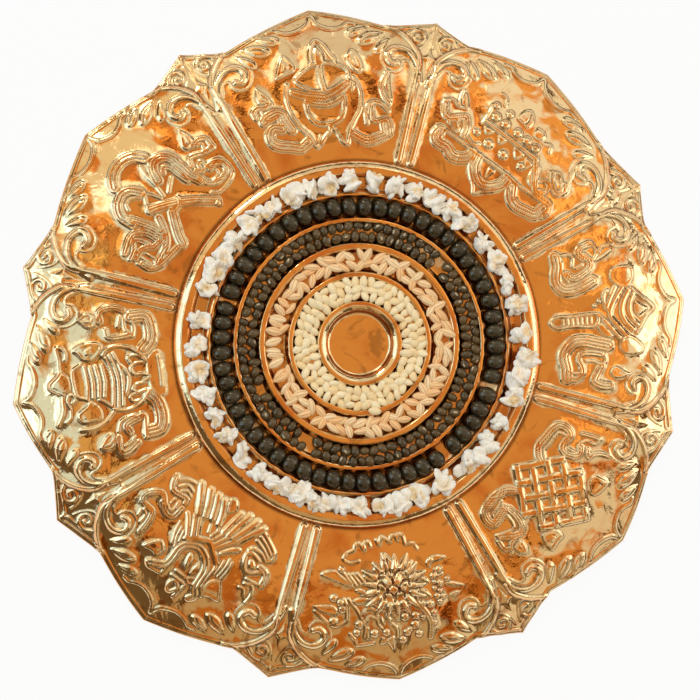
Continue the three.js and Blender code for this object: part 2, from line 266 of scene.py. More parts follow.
@dataclass(frozen=True)
class BrassFinish:
    """Polished brass: orange where it lies flat, with a painted highlight on its slopes that random
    rubbed wear breaks up, and dirt and painted shade in its chased lines. Scales are in patches
    per metre, leans in degrees."""

    name: str = "beaten_brass"
    body: Colour = (0.88, 0.32, 0.052, 1.0)
    deep: Colour = (0.72, 0.19, 0.024, 1.0)
    tarnish: Colour = (0.40, 0.145, 0.022, 1.0)
    # The pale colour of the painted highlight on slopes, partly rubbed wear.
    slope_highlight: Colour = (0.93, 0.72, 0.40, 1.0)
    # The colour of dirt and painted shade in the hollows and corners.
    dark_dirt_and_shade: Colour = (0.085, 0.030, 0.006, 1.0)
    coat: float = 0.12
    cloud_scale: float = 48.0
    speck_scale: float = 1400.0
    smear_scale: float = 90.0
    stain_scale: float = 64.0
    dent_scale: float = 130.0
    dent_depth: float = 0.24
    ripple_scale: float = 420.0
    ripple_depth: float = 0.06
    pit_depth: float = 0.016
    # The leans over which the painted slope highlight comes in, and over which it fades on steep
    # flanks.
    highlight_tilt_from: Span = (9.0, 13.5)
    highlight_tilt_until: Span = (34.0, 52.0)

    def material(self) -> bpy.types.Material:
        """Wires the finish.

        Returns:
            The material.
        """
        graph = Graph(self.name)
        place = graph.place()
        clouds = graph.noise(place, self.cloud_scale, 4.0, 0.8)
        specks = graph.noise(place, self.speck_scale, 2.0)
        smears = graph.noise(place, self.smear_scale, 5.0, 1.5)
        stains = graph.noise(place, self.stain_scale, 6.0, 2.2)
        dirt_and_shade, tilt = graph.level("dirt_and_shade"), graph.level("tilt")
        tone = graph.mix(graph.ramp(clouds, 0.42, 0.70), self.body, self.deep)
        # Painted highlight: slopes turn pale by their lean, less so on the steepest flanks, broken
        # up by random smears of rubbed wear.
        tilt_and_smear = graph.sum("ADD", tilt, graph.ramp(smears, 0.30, 0.70, -3.0, 3.0), clamp=False)
        slope_highlight_share = graph.sum("MULTIPLY", graph.ramp(tilt_and_smear, *self.highlight_tilt_from),
                           graph.ramp(tilt, *self.highlight_tilt_until, 1.0, 0.3))
        slope_highlight_share = graph.sum("MULTIPLY", slope_highlight_share, graph.ramp(smears, 0.25, 0.55, 0.60, 0.95))
        tone = graph.mix(slope_highlight_share, tone, self.slope_highlight)
        tone = graph.mix(graph.ramp(stains, 0.56, 0.70, 0.0, 0.62), tone, self.tarnish)
        # Dirt and painted shade: each point's stored level darkens the tone, speckled.
        soot_and_shade = graph.sum("MULTIPLY", dirt_and_shade, graph.ramp(specks, 0.25, 0.6, 0.75, 1.0))
        tone = graph.mix(soot_and_shade, tone, self.dark_dirt_and_shade)
        rough = graph.sum("ADD", graph.ramp(smears, 0.35, 0.72, 0.06, 0.14),
                          graph.sum("MULTIPLY", dirt_and_shade, 0.40))
        dents = graph.bump(graph.noise(place, self.dent_scale, 2.0, 0.7), self.dent_depth)
        ripples = graph.noise(place, self.ripple_scale, 2.0, 0.4)
        pits = graph.bump(specks, self.pit_depth, graph.bump(ripples, self.ripple_depth, dents))
        return graph.show(graph.add("BsdfPrincipled", {
            "Base Color": tone, "Metallic": 1.0, "Roughness": rough, "Coat Weight": self.coat,
            "Coat Roughness": 0.10, "Coat IOR": 1.5, "Normal": pits, "Coat Normal": pits}))


@dataclass(frozen=True)
class SeedFinish:
    """A dry seed's skin."""

    name: str
    body: Colour
    other: Colour
    rough: float
    mark: Mark = Mark.PLAIN
    mark_colour: Colour = (1.0, 1.0, 1.0, 1.0)
    coat: float = 0.0
    flesh: float = 0.0
    shine: float = 0.5
    sheen: Colour = (1.0, 0.82, 0.52, 1.0)

    def mark_share(self, graph: Graph) -> Socket:
        """Draws the mark on the seed's own map, where x runs round it and y from end to end.

        Args:
            graph: The material being wired.

        Returns:
            How much of the mark shows.
        """
        repeats, (near, far, strength), (middle, end, left) = self.mark.value
        spread = graph.add("UVMap", uv_map="skin").outputs[0]
        parts = graph.add("SeparateXYZ", {0: spread}).outputs
        folds = graph.sum("MULTIPLY", parts[0], repeats, clamp=False)
        line = graph.off_half(graph.sum("FRACT", folds, clamp=False))
        return graph.sum("MULTIPLY", graph.ramp(line, near, far, strength, 0.0),
                         graph.ramp(graph.off_half(parts[1]), middle, end, 1.0, left))

    def material(self) -> bpy.types.Material:
        """Wires the finish.

        Returns:
            The material.
        """
        graph = Graph(self.name)
        place = graph.place()
        mottle = graph.noise(place, 700.0, 4.0)
        tone = graph.mix(graph.level("tone"), self.body, self.other)
        shade = graph.mix(graph.ramp(mottle, 0.35, 0.7, 0.0, 0.35), tone, self.other)
        if self.mark is not Mark.PLAIN:
            shade = graph.mix(self.mark_share(graph), shade, self.mark_colour)
        rough = graph.ramp(mottle, 0.3, 0.7, self.rough - 0.06, self.rough + 0.10)
        skin = graph.bump(graph.noise(place, 1800.0, 3.0), 0.03)
        return graph.show(graph.add("BsdfPrincipled", {
            "Base Color": shade, "Roughness": rough, "Normal": skin, "Coat Weight": self.coat,
            "Coat Roughness": 0.06, "Specular IOR Level": self.shine, "Specular Tint": self.sheen,
            "Subsurface Weight": self.flesh, "Subsurface Scale": 0.8 * MM,
            "Subsurface Radius": (1.0, 0.8, 0.6)}))


@dataclass(frozen=True)
class PopcornFinish:
    """Popped corn: white foam, cream in its folds."""

    name: str = "popped_corn"
    foam: Colour = (0.96, 0.92, 0.83, 1.0)
    cream: Colour = (0.84, 0.60, 0.27, 1.0)
    husk: Colour = (0.36, 0.15, 0.04, 1.0)

    def material(self) -> bpy.types.Material:
        """Wires the finish.

        Returns:
            The material.
        """
        graph = Graph(self.name)
        place = graph.place()
        heart = graph.level("heart")
        blots = graph.noise(place, 260.0, 3.0)
        tone = graph.mix(graph.ramp(graph.level("fold"), 0.45, 1.0, 0.0, 0.42), self.foam,
                         self.cream)
        creamy = graph.sum("MULTIPLY", heart, graph.ramp(blots, 0.30, 0.58, 0.1, 0.9))
        tone = graph.mix(creamy, tone, self.cream)
        husky = graph.sum("MULTIPLY", heart, graph.ramp(blots, 0.64, 0.70))
        tone = graph.mix(husky, tone, self.husk)
        crust = graph.bump(graph.noise(place, 900.0, 4.0, 0.5), 0.22)
        return graph.show(graph.add("BsdfPrincipled", {
            "Base Color": tone, "Roughness": 0.62, "Normal": crust, "Subsurface Weight": 0.25,
            "Subsurface Scale": 0.9 * MM, "Subsurface Radius": (1.0, 0.85, 0.7)}))


Finish = BrassFinish | SeedFinish | PopcornFinish
FINISHES: dict[Slot, Finish] = {
    Slot.BRASS: BrassFinish(),
    Slot.POPCORN: PopcornFinish(),
    Slot.BLACK_BEAN: SeedFinish("black_bean_skin", srgb(20, 17, 9), srgb(46, 39, 24), 0.18,
                                coat=0.45, shine=0.7),
    Slot.SMALL_BEAN: SeedFinish("small_bean_skin", srgb(46, 35, 19), srgb(90, 69, 40), 0.20,
                                Mark.EYE, srgb(186, 170, 140), coat=0.45, shine=0.7),
    Slot.BARLEY: SeedFinish("barley_skin", srgb(255, 229, 186), srgb(252, 201, 142), 0.44,
                            Mark.SEAM, srgb(186, 116, 60), flesh=0.2),
    Slot.RICE: SeedFinish("rice_skin", srgb(254, 238, 202), srgb(248, 219, 166), 0.36,
                          coat=0.1, flesh=0.3),
}
MATERIALS: dict[Slot, bpy.types.Material] = {}


# ---- pieces


def hang(name: str, data: bpy.types.ID) -> bpy.types.Object:
    """Puts an object in the scene.

    Args:
        name: The object's name.
        data: Its mesh, lamp or camera.

    Returns:
        The object.
    """
    thing = bpy.data.objects.new(name, data)
    bpy.context.scene.collection.objects.link(thing)
    return thing


def write_mesh(maker: bmesh.types.BMesh, name: str) -> bpy.types.Mesh:
    """Turns a finished bmesh into a mesh.

    Args:
        maker: The bmesh, which is freed.
        name: The mesh's name.

    Returns:
        The mesh.
    """
    mesh = bpy.data.meshes.new(name)
    maker.to_mesh(mesh)
    maker.free()
    return mesh


def dress(maker: bmesh.types.BMesh, name: str, slot: Slot,
          nodes: tuple[str, ...]) -> bpy.types.Object:
    """Turns a finished bmesh into a piece of the object.

    Args:
        maker: The bmesh, in metres.
        name: The piece's name.
        slot: The slot of its finish.
        nodes: The frame's nodes that it stands for.

    Returns:
        The piece.
    """
    mesh = write_mesh(maker, name)
    mesh.polygons.foreach_set("use_smooth", [True] * len(mesh.polygons))
    mesh.materials.append(MATERIALS[slot])
    mesh.update()
    piece = hang(name, mesh)
    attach(piece, "root")
    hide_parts(*nodes)
    log.info("%s: %d faces", name, len(mesh.polygons))
    return piece


def read_points(mesh: bpy.types.Mesh) -> np.ndarray:
    """Reads where a mesh's points are.

    Args:
        mesh: The mesh.

    Returns:
        The places, one row each.
    """
    flat = np.zeros(len(mesh.vertices) * 3)
    mesh.vertices.foreach_get("co", flat)
    return flat.reshape(-1, 3)


def move_points(mesh: bpy.types.Mesh, places: np.ndarray) -> None:
    """Moves a mesh's points to places in mm."""
    mesh.vertices.foreach_set("co", (places * MM).ravel())
    mesh.update()


def store_level(mesh: bpy.types.Mesh, name: str, values: np.ndarray) -> None:
    """Keeps a named level, one value for each of a mesh's points."""
    layer = mesh.attributes.new(name, "FLOAT", "POINT")
    layer.data.foreach_set("value", np.ascontiguousarray(values, dtype=np.float32))


def store_tilt(mesh: bpy.types.Mesh, share: np.ndarray | float = 1.0) -> None:
    """Keeps how far each point of a mesh leans from level, which paints the brass's slope
    highlight.

    Args:
        mesh: The mesh.
        share: How much of the lean, and so of the painted highlight, counts at each point.
    """
    normals = np.zeros(len(mesh.vertices) * 3)
    mesh.vertex_normals.foreach_get("vector", normals)
    upright = np.clip(np.abs(normals.reshape(-1, 3)[:, 2]), 0.0, 1.0)
    store_level(mesh, "tilt", share * np.degrees(np.arccos(upright)))


# ---- chased work


class Kind(Enum):
    """The kinds of stroke, each named after the method of Chasing that works it."""

    LINE = "line"
    CUT = "cut"
    RIBBON = "ribbon"
    PAD = "pad"
    BEADS = "beads"
    WEAVE = "weave"
    FAN = "fan"
    SCALLOPS = "scallops"


@dataclass(frozen=True)
class Stroke:
    """One stroke of a design.

    Attributes:
        kind: Its kind.
        points: Its points, in rows of x and y, and of x, y and radius for beads.
        sizes: What its kind's method takes after the points.
    """

    kind: Kind
    points: np.ndarray
    sizes: tuple[float, ...] = ()


def read_design(text: str) -> list[Stroke]:
    """Reads a design.

    Each entry names a kind of stroke and its sizes. The points of its strokes follow a colon, with
    semicolons between strokes. All are in mm on the petal: x runs across it, to the right with the
    tip up, and y is measured from the plate's middle along the design's axis.

    Args:
        text: The design.

    Returns:
        Its strokes in order.
    """
    strokes = []
    for name, sizes, places in re.findall(r"([a-z]+)([^:]*):([^a-z]*)", text):
        kind = Kind(name)
        stride = 3 if kind is Kind.BEADS else 2
        for words in places.split(";"):
            points = np.array(words.split(), dtype=float).reshape(-1, stride)
            strokes.append(Stroke(kind, points, tuple(float(size) for size in sizes.split())))
    return strokes


def rounded(knots: np.ndarray) -> np.ndarray:
    """Rounds a given path through its points.

    Args:
        knots: The points.

    Returns:
        Points along a smooth curve through them.
    """
    if len(knots) < 3:
        return knots
    closed = bool(np.allclose(knots[0], knots[-1]))
    first = knots[-2] if closed else 2 * knots[0] - knots[1]
    last = knots[1] if closed else 2 * knots[-1] - knots[-2]
    padded = np.vstack([first, knots, last])
    steps = np.linspace(0.0, 1.0, 5)[:-1, None]
    spans = []
    for before, start, end, after in zip(padded, padded[1:], padded[2:], padded[3:]):
        slope_in, slope_out = (end - before) / 2.0, (after - start) / 2.0
        spans.append((2 * steps**3 - 3 * steps**2 + 1) * start
                     + (steps**3 - 2 * steps**2 + steps) * slope_in
                     + (3 * steps**2 - 2 * steps**3) * end
                     + (steps**3 - steps**2) * slope_out)
    return np.vstack([*spans, knots[-1:]])


class Chasing:
    """The heights of work on one patch of sheet. Raised strokes that cross keep the higher height,
    and cuts go down from what was raised before them.

    Attributes:
        broad: A factor on the width of every line.
        tall: A factor on every height.
        strips: The first and last crossing of each of the knot's strips, in pitches.
        scallop: The bow of a rounded edge, in shares of its width and mm.
    """

    broad = 1.32
    tall = 0.5
    strips = ((-2, 1), (-2, 2), (-2, 2), (-2, 2), (-1, 2))
    scallop = ((0.0, 0.0), (0.08, 2.2), (0.5, 3.6), (0.92, 2.2), (1.0, 0.0))

    def __init__(self, radius: np.ndarray, angle: np.ndarray) -> None:
        """Starts a flat patch.

        Args:
            radius: The radii of the patch's grid in mm.
            angle: Its angles from the design's axis in degrees.
        """
        side = np.radians(angle)
        self.x = (radius * np.sin(side)).ravel()
        self.y = (radius * np.cos(side)).ravel()
        self.shape = radius.shape
        self.height = np.zeros_like(self.x)

    def grid(self) -> np.ndarray:
        """Returns the heights as the patch's grid."""
        return self.height.reshape(self.shape)

    def work(self, strokes: list[Stroke], flip: float = 1.0) -> None:
        """Adds strokes.

        Args:
            strokes: The strokes.
            flip: A factor on every x, where -1 turns them over.
        """
        for stroke in strokes:
            points = stroke.points.copy()
            points[:, 0] *= flip
            getattr(self, stroke.kind.value)(points, *stroke.sizes)

    def work_both(self, strokes: list[Stroke]) -> None:
        """Adds strokes on the right, and the same strokes turned over on the left."""
        self.work(strokes)
        self.work(strokes, -1.0)

    def near(self, line: np.ndarray, reach: float) -> tuple[np.ndarray, ...]:
        """Finds what lies near a path.

        Args:
            line: The path's points.
            reach: How near, in mm.

        Returns:
            The points' indices, their distances, signed distances and shares along the path.
        """
        low, high = line.min(0) - reach, line.max(0) + reach
        index = np.flatnonzero((self.x > low[0]) & (self.x < high[0])
                               & (self.y > low[1]) & (self.y < high[1]))
        px, py = self.x[index], self.y[index]
        best = np.full(len(index), 1e9)
        side = np.zeros(len(index))
        along = np.zeros(len(index))
        spans = len(line) - 1
        for number, (start, end) in enumerate(zip(line, line[1:])):
            run = end - start
            square = float(run @ run) or 1e-12
            share = np.clip(((px - start[0]) * run[0] + (py - start[1]) * run[1]) / square, 0, 1)
            dx, dy = px - start[0] - share * run[0], py - start[1] - share * run[1]
            gap = np.hypot(dx, dy)
            closer = gap < best
            best = np.where(closer, gap, best)
            side = np.where(closer, np.sign(run[0] * dy - run[1] * dx), side)
            along = np.where(closer, (number + share) / spans, along)
        return index, best, best * side, along

    def within(self, outline: np.ndarray, index: np.ndarray) -> np.ndarray:
        """Tells which points lie in an outline.

        Args:
            outline: The outline's points.
            index: The points to test.

        Returns:
            True for each point inside.
        """
        px, py = self.x[index], self.y[index]
        inside = np.zeros(len(index), dtype=bool)
        for start, end in zip(outline, np.roll(outline, -1, axis=0)):
            rise = end[1] - start[1]
            if rise == 0.0:
                continue
            where = start[0] + (py - start[1]) * (end[0] - start[0]) / rise
            inside ^= ((start[1] > py) != (end[1] > py)) & (px < where)
        return inside

    def raise_to(self, index: np.ndarray, height: np.ndarray) -> None:
        """Lifts points to at least a height."""
        self.height[index] = np.maximum(self.height[index], self.tall * height)

    def line(self, points: np.ndarray, half: float = 0.62, height: float = 0.85,
             end: float = 1.0) -> None:
        """Raises a rounded line.

        Args:
            points: Its path.
            half: Half its width in mm.
            height: Its height in mm.
            end: Half its width at the path's end, as a share of half.
        """
        wide = self.broad * half
        index, gap, _, along = self.near(rounded(points), wide)
        taper = wide * (1.0 + (end - 1.0) * along)
        share = np.clip(gap / np.maximum(taper, 0.05), 0.0, 1.0)
        full = np.minimum(1.0, taper / wide + 0.2)
        self.raise_to(index, height * full * (1.0 - share**2) ** 1.35)

    def cut(self, points: np.ndarray, half: float = 0.5, depth: float = 0.55) -> None:
        """Punches a line into the sheet, or into the work already raised on it.

        Args:
            points: Its path.
            half: Half its width in mm.
            depth: Its depth in mm.
        """
        index, gap, _, _ = self.near(rounded(points), half)
        share = np.clip(gap / half, 0.0, 1.0)
        self.height[index] -= depth * (1.0 - share**2) ** 1.25

    def ribbon(self, points: np.ndarray, half: float = 2.2, lines: float = 3.0,
               height: float = 0.9) -> None:
        """Raises a band of lines side by side.

        Args:
            points: The band's middle.
            half: Half the band's width in mm.
            lines: How many lines it has.
            height: Its height in mm.
        """
        index, gap, side, _ = self.near(rounded(points), half)
        share = np.clip(gap / half, 0.0, 1.0)
        wave = np.abs(np.cos(0.5 * math.pi * (side / half + 1.0) * lines + 0.5 * math.pi)) ** 0.8
        body = (1.0 - share**6) * (0.18 + 0.82 * wave)
        self.raise_to(index, height * body)

    def pad(self, points: np.ndarray, height: float = 0.8, edge: float = 1.2,
            dish: float = 0.0) -> None:
        """Raises a field with rounded edges.

        Args:
            points: Its outline, which closes by itself.
            height: Its height in mm.
            edge: How far in from the outline it reaches that height, in mm.
            dish: How much its middle is sunk, as a share of the height.
        """
        outline = rounded(np.vstack([points, points[:1]]))
        index, gap, _, _ = self.near(outline, 0.4)
        inside = self.within(outline, index)
        sunk = 1.0 - dish * smooth(0.5 * edge, 1.8 * edge, gap)
        self.raise_to(index[inside], (height * smooth(0.0, edge, gap) * sunk)[inside])

    def beads(self, points: np.ndarray, height: float = 0.9) -> None:
        """Raises dots.

        Args:
            points: The x, y and radius of each in mm.
            height: A factor on their height.
        """
        for x, y, radius in points:
            gap = np.hypot(self.x - x, self.y - y)
            index = np.flatnonzero(gap < radius)
            share = gap[index] / radius
            self.raise_to(index, 1.5 * height * np.sqrt(1.0 - share**2))

    def weave(self, points: np.ndarray, pitch: float, half: float = 1.75,
              height: float = 1.25) -> None:
        """Raises the endless knot: five strips across five, over and under by turns.

        Args:
            points: Its middle.
            pitch: The distance between strips in mm.
            half: Half a strip's width in mm.
            height: A strip's height in mm where it passes over.
        """
        x, y = points[0]
        index = np.flatnonzero(np.hypot(self.x - x, self.y - y) < 4.0 * pitch)
        dx, dy = self.x[index] - x, self.y[index] - y
        along, across = (dx + dy) / math.sqrt(2.0), (dy - dx) / math.sqrt(2.0)
        for turn, (u, v) in enumerate(((along, across), (across, along))):
            for number, (first, last) in enumerate(self.strips):
                gap = np.abs(v - (number - 2) * pitch) / half
                over = np.cos(math.pi * (u / pitch + number + turn))
                low, high = first * pitch - half, last * pitch + half
                ends = smooth(low, low + 0.8, u) * smooth(high, high - 0.8, u)
                body = np.clip(1.0 - gap**4, 0.0, 1.0) * (0.72 + 0.28 * over) * ends
                self.raise_to(index, height * body)

    def fan(self, points: np.ndarray, reach: float, length: float, count: float, start: float,
            end: float) -> None:
        """Raises pointed leaves round a middle.

        Args:
            points: The middle.
            reach: The radius of the leaves' tips in mm.
            length: A leaf's length in mm.
            count: How many leaves.
            start: The first leaf's bearing in degrees.
            end: The bearing where the fan closes.
        """
        x, y = points[0]
        for number in range(int(count)):
            turn = math.radians(lerp(start, end, number / count))
            far = reach * (1.0 + 0.10 * math.sin(3.1 * number))
            leaf = [(x + math.cos(turn) * out, y + math.sin(turn) * out)
                    for out in (far - length, far - 0.4 * length, far)]
            self.line(np.round(leaf, 2), 1.7, 2.4, 0.2)

    def scallops(self, points: np.ndarray) -> None:
        """Cuts a row of rounded petal edges, each bowed away from the flower's foot.

        Args:
            points: The places where two petals of the row meet.
        """
        for start, end in zip(points, points[1:]):
            bow = [lerp(start, end, share) - (0.0, rise) for share, rise in self.scallop]
            self.cut(np.round(bow, 2), 0.7, 0.9)


# One side of a large petal's border, on an even petal: the ogee line, three curled leaves, and the
# roll that springs from the rib.
PETAL_SIDE = """
line 1 0.9 0.6: 0 148.5 1.6 145 5 142.6 9 141.4 13 141.8 16.5 143.4 19.5 142.8
pad 1.3 1.9: 26.6 141.4 20.6 141.9 16 141 14.2 138.6 15.8 136.6 19.6 136.4 23.4 138.4
cut 0.5 0.4: 25 140.6 19.5 140.2 17 138.6
pad 1.3 1.9: 32.4 137 26 138.2 20.6 136.8 18.6 134.2 20.8 131.9 25.2 131.8 28.8 133.8
cut 0.5 0.4: 30 136.4 24 135.8 21.4 133.8
pad 1.2 1.7: 34.8 134 30.4 133.4 26.4 130.6 26 127.6 28.6 126.8 31.4 129
line 1.5 1.6 0.75: 44.2 112 44.6 118 43.8 123 41 127 36.6 129 32.8 127.7 31.7 124.8 33.3 122
36 122.2
cut 0.5 0.5: 43.6 119 42.4 123.6 39.6 126.9 36.2 127.4 34 125.4 35 123.4
line 0.5 0.6 0.6: 42.6 116.5 41.6 121.4 38.8 122.8 37.2 119.8 34 118.2 30.4 119.6 28.8 123.4 29 127
"""

# One side of a small petal's own work: a four-pointed leaf, a scroll and a cusped line under the
# tip.
SMALL_PETAL = """
pad 0.9 1.6: 0 138.6 1.3 134.6 4.2 132.4 1.7 130.6 0 126.2 -1.7 130.6 -4.2 132.4 -1.3 134.6
line 0.8 0.7 0.5: 0 149.8 1.6 147.4 6.4 145.6
line 0.85 0.95 0.9: 12 141.4 9.4 144.2 5.8 144.8 3.6 142.4 4.6 139.6 7.4 139.4 8 141.6 6.2 142.4
line 0.6 0.6 0.6: 10.4 139 6.6 136.2 4 137.6 2.2 141 1.4 145
"""

# The eight large petals' own work.
BANNER = """
line 0.8 1: -8.2 127 -4.2 131 -1.2 134.6 2 136.8 5 133 9 129.6 12.4 126.6
pad 0.9: -2.6 128.6 -0.6 131.4 1.8 134.6 3.8 131.4 5 129 3.6 127 0 126.6; 5.4 110.6 9 113.6
12.8 115.6 12.8 111.6 9.8 108.4 6.4 107.8
line 1 1: -5.6 127.8 -2.4 125.6 1.6 124.6 5.2 125.6 8.6 128; -9.6 119 -5 116 -0.8 113.6
line 1.15 1.1: -7.4 125.4 -3.2 122.2 1.6 120.6 6.2 121.9 10.6 125.4; -9 122.4 -4 118.2 2.2 115
7.4 117.8 13.2 122.2
line 1.2 1.1: 4.6 111.6 8 114.2 13.2 117.8
line 0.8 0.9: -8.8 115.2 -7 113.2 -3.6 112.8 0.4 114.4
pad 1 1.1 0.55: -9 126 -12.8 129.2 -17 129.4 -19.2 126.6 -19.2 121 -17.4 117.8 -13.4 117 -9.8 120
-8.4 123.6; 12.6 124 15 127.2 19 130 21.8 128 21.8 122 20 118 16 117 13.4 119 12.4 122
line 0.65 0.9: 1.2 108.4 0.8 103 0.8 95 0.4 90 2.6 86.6 5.6 89.6 5.4 95 6.4 103 6.8 107 4 109.2
1.2 108.4
line 0.42 0.7: 2.6 105.8 5 105.6; 2.4 103.6 5 103.4; 2.4 101.4 4.8 101.2; 2.4 99.2 4.8 99; 2.2 97
4.6 96.8; 2 94.8 4.4 94.6; 2 92.6 4.2 92.4
line 0.7 0.9: 1.4 109.4 4.2 112 8 115.2 12.8 117; -26.8 94.6 -26.8 99 -24.6 101 -21.4 100.4
-20.4 102 -21.4 105; -31.6 109 -29.4 112 -26 112.6 -23 110.6; -29.2 120.4 -28.6 116 -26.2 113.4;
-26.6 119.8 -24.2 115.6 -22.8 112
beads: -4.2 110.6 1.1 -2.4 108.2 1
ribbon 2.9 4: -14 109 -11.6 103 -10.6 98 -11.2 94.6 -14.4 92 -18 92 -22 93 -26.6 92.8
ribbon 1.7: -25.6 106.6 -22.8 108.8 -20 108.6 -17.6 105.4 -16.2 102 -16.2 99.4 -18.4 97.6;
-30.6 110.4 -29.6 106 -27 103.6 -24.4 105.4
line 0.6 0.8: -23.6 95.8 -18 95.6 -14.6 97.6; 24.4 97 26.6 97.2 26.4 94 25.2 92.4
ribbon 3.1 4: 16 112 14 106 12.4 101 12.6 96 15.6 92 19 90.4 24 90.8 28.2 90.4
ribbon 1.5 2: 19.6 108 18.2 103 18.2 98.8 20.6 97.2 24.2 98.2 27 98 29 95 28.8 91.6
line 0.75 0.9: 20.2 109.8 22.8 110 24.2 107.4 22.2 104.4 21.6 100.6
ribbon: 25 107.4 28 105 31 103.2 33.4 106.6 34 110
pad 1 1 0.5: 25.6 115 28 118 30.2 121.4 31.6 117 31.2 112.6 28.2 111 25.8 113
"""
PARASOL = """
beads 1.3: -9.7 119.4 2.3 -4.3 119.3 2.3 2.5 119.6 2.3 7.8 119.2 2.2 13 118.8 2.2 -12.4 124 1.8
-5.2 124.5 2
line 0.8 0.9: -13.4 130.2 -10.6 129.4 -9.2 126.6
pad 1.1 1.4 0.3: -2 125 -1.6 129.6 1.6 132.8 5.2 130.4 6.2 126.4 4.6 123.4 1 124
cut: 2.6 131 3.4 127 2.4 124.6
pad 1.1 1.4: 8 123.6 8 127.4 11 128.2 14.2 126.6 13.4 123 10 122
line 0.8 0.9: 15 123 18 124.2 19.2 121.4
line 0.65 0.8: -14.2 123.4 -13.4 119 -13.2 113.4
line 1.15 1.2: -12.6 114.8 16.2 114.8
pad 1 1: -11.8 112.6 -9 109.4 -6.4 113.4; -4.6 113.4 -1.8 109.4 0.4 113.4; 4.4 113.2 8 108.4
10.6 113.2; 11.4 112.4 14 107.4 16.2 111.6; 0.6 98.8 1 95.2 2.2 93 3.6 95.6 4 98.8
beads 1: -13 108.2 1.7 -5.6 107 2.3 2.6 107.2 2.3 12 107.6 1.9
line 0.7 0.8: -15.2 104 -11 102.6 -9 104.4
line 0.8 1: -25.4 100.2 -10 100 0 100.6 10 100.6 16.4 100 29.6 100.2
ribbon 1.5: 16.6 113.6 19 110 21.6 105.4 24 102.4 27.4 101.8 32 102 34 99 33.4 95
pad 0.9 1: 16.6 110.8 17 106 19 103 21.6 103 19 107.4
ribbon: -5.6 99.6 -4.6 95 -1.6 91.6 2.2 90.2 6.2 92 9 95.6 10 99.8
line 0.65 0.9: -8 98.6 -7.2 94 -4 90.2 -0.4 87.4 2 84.6 4.6 87.4 8.4 90.8 11.4 94.8 12 99
ribbon 2.9 4: -26.6 99 -26.8 95.4 -24.6 93.6 -20 94 -16 92.4 -12 93.8 -9.4 96.4 -8.8 99; 14 97.6
16.6 93.4 20.6 91.6 26 92.4 30 93.6 31.4 98.4
ribbon 1.9: -31.6 110 -29.2 106.2 -26.2 106 -23.2 108.8 -20.6 110.6 -17.8 107 -17 103.4
line 0.75 0.9: -33 111.4 -30 113.8 -26 113.2 -22.6 114.6; 35.6 111 34.2 116 33.6 121
line 0.7 0.9: -28.6 120.6 -27.8 116.4 -26.4 113.8; -26.6 119.6 -24 116.6 -22.6 114.6; 26 115
29 116.2 31.4 113.4
line 0.6 0.8: -23.4 107.4 -20.6 105 -20.6 102.6 -26 103.8
ribbon 1.7 2: 25.6 114 28 110.2 32 107.6 34.4 110 33 113
ribbon 1 2: 22.6 107 25 109 27.8 107.6 28 104.6 25.4 104
"""
LID_BOWL = """
line 0.8 1: -6 126 -6.2 130 -4.8 134.4 -2.8 136.6 0 134.8 2.6 130.4 4.6 127 4.6 125.4
pad 1.1 1.6: -3 134.6 -5 131 -5.2 126.4 -3 125 0 125.3 0.8 129 -0.8 133
line 0.75 1: -14 119 -11 122.2 -7 124.6 -3 125.6 1.2 125.8 6 124.2 9.2 122 9.8 119 6.6 116 2 113.6
-2 113 -7 113.6 -11 116 -14 119
ribbon 1.5 2: -2.4 124.8 -2.6 119 -1.8 114.6; -26 109.4 -28.6 108 -32 108.2 -34 106.4 -33.2 103.8;
27.6 118.8 25.4 115.6 24 112.4 24.6 108 26.2 105
ribbon 2: -15.4 113.6 -11 111.8 -6 110.8 -1.4 110.2 4 112 9 115.6
ribbon 1.3 2: -10 109 -6 107.6 -1 106.8 3 107.8 6.4 109.6
pad 0.9 0.9: 10 117.6 12.6 115.4 11.6 112 9.6 111.4 10.6 114.4
ribbon 1.1 2: -10.6 108 -10.2 104 -8.6 100.6 -6 98.6 -2 98 2 98.8 4.6 100.6 6 104 6.4 108.4
ribbon 0.95 1: -18 117.4 -19 112 -18.4 107 -16.4 101.4 -14 97 -11 93.6 -9.2 90.4 -7.8 88.2 -5.4 90.4
-3.4 93 -1.4 94.8 -1.2 97.4; 12 118 14 113 14.2 108 13 103 10.4 99 8 95 6.6 91 5.8 88.2 3.4 90
1.6 94 -0.2 96.6
line 0.5 0.7: 1 94.4 2.8 91; -6 93 -6.6 90
pad 1.1 1.1 0.6: -19 131 -17 131 -14 127.2 -13 125 -14 122.8 -18 121.4 -22 120 -22.6 122 -21 127;
10 129 12.6 131.6 15 130 16.6 126 17.2 122 15 119.4 12 121 10 124 9 127
pad 0.9 1: -18.4 127.6 -16.2 125.8 -16 123.9 -19.8 123; 12.4 127.4 14 126.2 14.8 123 12.6 122.8
pad 1.2 1 0.6: -31.6 117.6 -28 114.4 -25.4 111 -27 109.4 -31 109.6 -32.4 112 -32.2 116
line 0.6 0.9: -30.4 114 -30.6 111.6 -28.4 111.4
line 0.6 0.8: -30.8 107 -30 104.6 -29 102.6; -26.8 101.4 -24.4 102.4 -22.8 99.4; 27.8 118.4 27.4 112
27.4 106.6
ribbon 2.5 4: -30 101.6 -27.4 104 -24 105.2 -21.4 104 -20 100.6 -18 97; -22.6 97.8 -26 98.2 -28 95.6
-27.2 92 -24 90.2 -19 89.4 -15 88.6 -11.4 91
ribbon 1.2 2: 15.4 96.8 15.4 101 17 104.8 20 106 23 104.6 25.6 101.4; 18.6 104 18.2 100 18.6 97.4
21.4 97.4 24.4 98 25.6 95 25.4 91
ribbon 2.3 4: 8.6 92.4 12 90 15 88.8 19 89.6 23 91 23 95.4
"""
